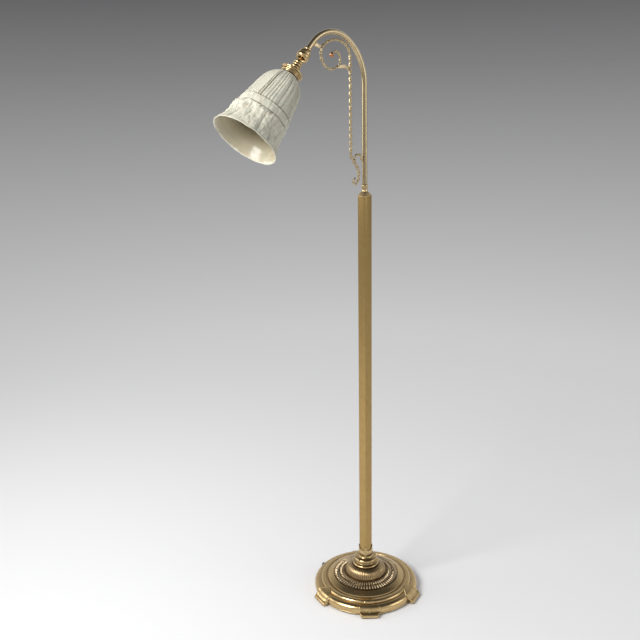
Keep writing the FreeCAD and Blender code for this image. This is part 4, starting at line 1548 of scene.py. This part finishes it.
@dataclass
class Studio:
    """Floor, world, lamps and the camera at the photograph's viewing angle.

    Attributes:
        camera_at: The camera's distance and height from the lamp's axis and floor, m.
        bearing: The camera's bearing from the column, degrees.
        pitch: Downward tilt, radians.
        yaw: Turn away from the lamp's axis, radians.
        roll: Roll, radians.
        focal: Focal length in pixels of the 640 pixel frame.
        surround: Colour of the surround at the horizon.
        upper: Colour of the surround a little above the horizon.
        near: Colour of the floor near the lamp, as the camera sees it.
        reach: Distance from the lamp in which the floor's tone falls by half, m.
        extent: Half the side of the floor, m.
        paint: Colour of the floor as the lamps light it.
        air: Colour of the light from all round.
        sheen: Colour that polished metal mirrors, from the sides and from overhead.
        lamps: Name, place, side and power of each lamp, in m and W.
        aim: Height that the lamps look at, m.
    """

    camera_at: tuple[float, float] = (2.1, 1.4286)
    bearing: float = -45.0
    pitch: float = 0.29401
    yaw: float = -0.05552
    roll: float = -0.01870
    focal: float = 847.0
    surround: tuple[float, float, float] = (0.210, 0.210, 0.214)
    upper: tuple[float, float, float] = (0.115, 0.115, 0.118)
    near: tuple[float, float, float] = (0.90, 0.90, 0.90)
    reach: float = 2.1
    extent: float = 400.0
    paint: tuple[float, float, float] = (0.94, 0.94, 0.94)
    air: tuple[float, float, float] = (0.34, 0.34, 0.35)
    sheen: tuple[tuple[float, float, float], ...] = ((0.66, 0.66, 0.66), (0.08, 0.08, 0.082))
    lamps: tuple[tuple[str, tuple[float, float, float], float, float], ...] = (
        ("key", (-2.4, 0.1, 2.4), 1.4, 76.0),
        ("fill", (1.2, -2.4, 1.5), 1.4, 10.0),
        ("side", (-1.7, 2.1, 1.6), 1.6, 16.0))
    aim: float = 0.7

    def build(self) -> None:
        """Builds the studio."""
        scene = bpy.context.scene
        scene.view_settings.view_transform = "Standard"
        self.floor()
        self.world()
        for lamp in self.lamps:
            self.lamp(*lamp)
        scene.camera = self.camera()

    def camera(self) -> bpy.types.Object:
        """The camera.

        Returns:
            The camera object.
        """
        data = bpy.data.cameras.new("camera")
        data.sensor_width = 36.0
        data.lens = self.focal / 640.0 * 36.0
        data.clip_end = 4.0 * self.extent
        level = math.cos(self.pitch)
        forward = Vector((math.sin(self.yaw) * level, math.cos(self.yaw) * level, -math.sin(self.pitch)))
        right = Vector((math.cos(self.yaw), -math.sin(self.yaw), 0.0))
        up = right.cross(forward)
        c, s = math.cos(self.roll), math.sin(self.roll)
        axes = Matrix((c * right + s * up, c * up - s * right, -forward)).transposed().to_4x4()
        turn = Matrix.Rotation(math.radians(self.bearing), 4, "Z")
        camera = bpy.data.objects.new("camera", data)
        distance, height = self.camera_at
        camera.matrix_world = AXIS @ turn @ Matrix.Translation((0, -distance, height)) @ axes
        bpy.context.scene.collection.objects.link(camera)
        return camera

    def floor(self) -> None:
        """A plain pale floor that fades into the surround far behind the lamp."""
        bm = bmesh.new()
        bmesh.ops.create_grid(bm, x_segments=1, y_segments=1, size=self.extent)
        mesh = bpy.data.meshes.new("floor")
        bm.to_mesh(mesh)
        bm.free()
        material, board, shader = new_material("floor")
        shader.inputs["Base Color"].default_value = rgba(self.paint)
        shader.inputs["Roughness"].default_value = 0.9
        place = board.add("ShaderNodeTexCoord")
        away = board.add("ShaderNodeVectorMath", operation="LENGTH")
        board.link(place.outputs["Object"], away.inputs[0])
        far = board.ramp(away.outputs["Value"], 0.3, 2.6)
        glow = board.add("ShaderNodeEmission")
        share = board.math("DIVIDE", self.reach, board.math("ADD", away.outputs["Value"], self.reach))
        tone = board.mix(board.ramp(share, 0.0, 0.80), rgba(self.surround), rgba(self.near))
        board.link(tone, glow.inputs["Color"])
        blend = board.add("ShaderNodeMixShader")
        board.link(board.math("MULTIPLY", far, self.shown(board)), blend.inputs[0])
        board.link(shader.outputs[0], blend.inputs[1])
        board.link(glow.outputs[0], blend.inputs[2])
        board.link(blend.outputs[0], material.node_tree.nodes["Material Output"].inputs["Surface"])
        mesh.materials.append(material)
        floor = bpy.data.objects.new("floor", mesh)
        bpy.context.scene.collection.objects.link(floor)

    def shown(self, board: NodeBoard) -> bpy.types.NodeSocket:
        """A mask for what the camera sees, straight or in a reflection.

        Args:
            board: The node board that the mask goes on.

        Returns:
            The mask's socket, 1 where the ray is one of these.
        """
        path = board.add("ShaderNodeLightPath")
        seen = board.math("MAXIMUM", path.outputs["Is Camera Ray"], path.outputs["Is Glossy Ray"])
        return board.math("MAXIMUM", seen, path.outputs["Is Transmission Ray"])

    def world(self) -> None:
        """Plain grey light, and a surround that is paler at the horizon than overhead."""
        world = bpy.data.worlds.new("studio")
        world.use_nodes = True
        bpy.context.scene.world = world
        board = NodeBoard(world.node_tree)
        ground = world.node_tree.nodes["Background"]
        place = board.add("ShaderNodeTexCoord")
        split = board.add("ShaderNodeSeparateXYZ")
        board.link(place.outputs["Generated"], split.inputs[0])
        above = board.ramp(split.outputs["Z"], 0.0, 0.085)
        surround = board.mix(above, rgba(self.surround), rgba(self.upper))
        path = board.add("ShaderNodeLightPath")
        overhead = board.ramp(split.outputs["Z"], 0.45, 0.85)
        sheen = board.mix(overhead, rgba(self.sheen[0]), rgba(self.sheen[1]))
        light = board.mix(path.outputs["Is Glossy Ray"], rgba(self.air), sheen)
        board.link(board.mix(path.outputs["Is Camera Ray"], light, surround), ground.inputs["Color"])

    def lamp(self, name: str, at: tuple[float, float, float], size: float, power: float) -> None:
        """A soft square lamp that looks at the middle of the column.

        Args:
            name: The lamp's name.
            at: Where it stands, m.
            size: Its side, m.
            power: Its power, W.
        """
        data = bpy.data.lights.new(name, "AREA")
        data.shape = "SQUARE"
        data.size = size
        data.energy = power
        light = bpy.data.objects.new(name, data)
        aim = Vector((0.0, 0.0, self.aim)) - Vector(at)
        turn = aim.to_track_quat("-Z", "Y").to_matrix().to_4x4()
        light.matrix_world = AXIS @ Matrix.Translation(at) @ turn
        bpy.context.scene.collection.objects.link(light)


def main() -> None:
    """Builds the lamp around its frame."""
    logging.basicConfig(level=logging.INFO, format="%(name)s %(message)s")
    finishes = Finishes()
    arm = Arm()
    for part in (Base(), Column(), arm, Head(end_axis(arm.end(), arm.drop)), Fittings()):
        LOG.info("building %s", type(part).__name__)
        part.build(finishes)
    Studio().build()


if __name__ == "__main__":
    main()
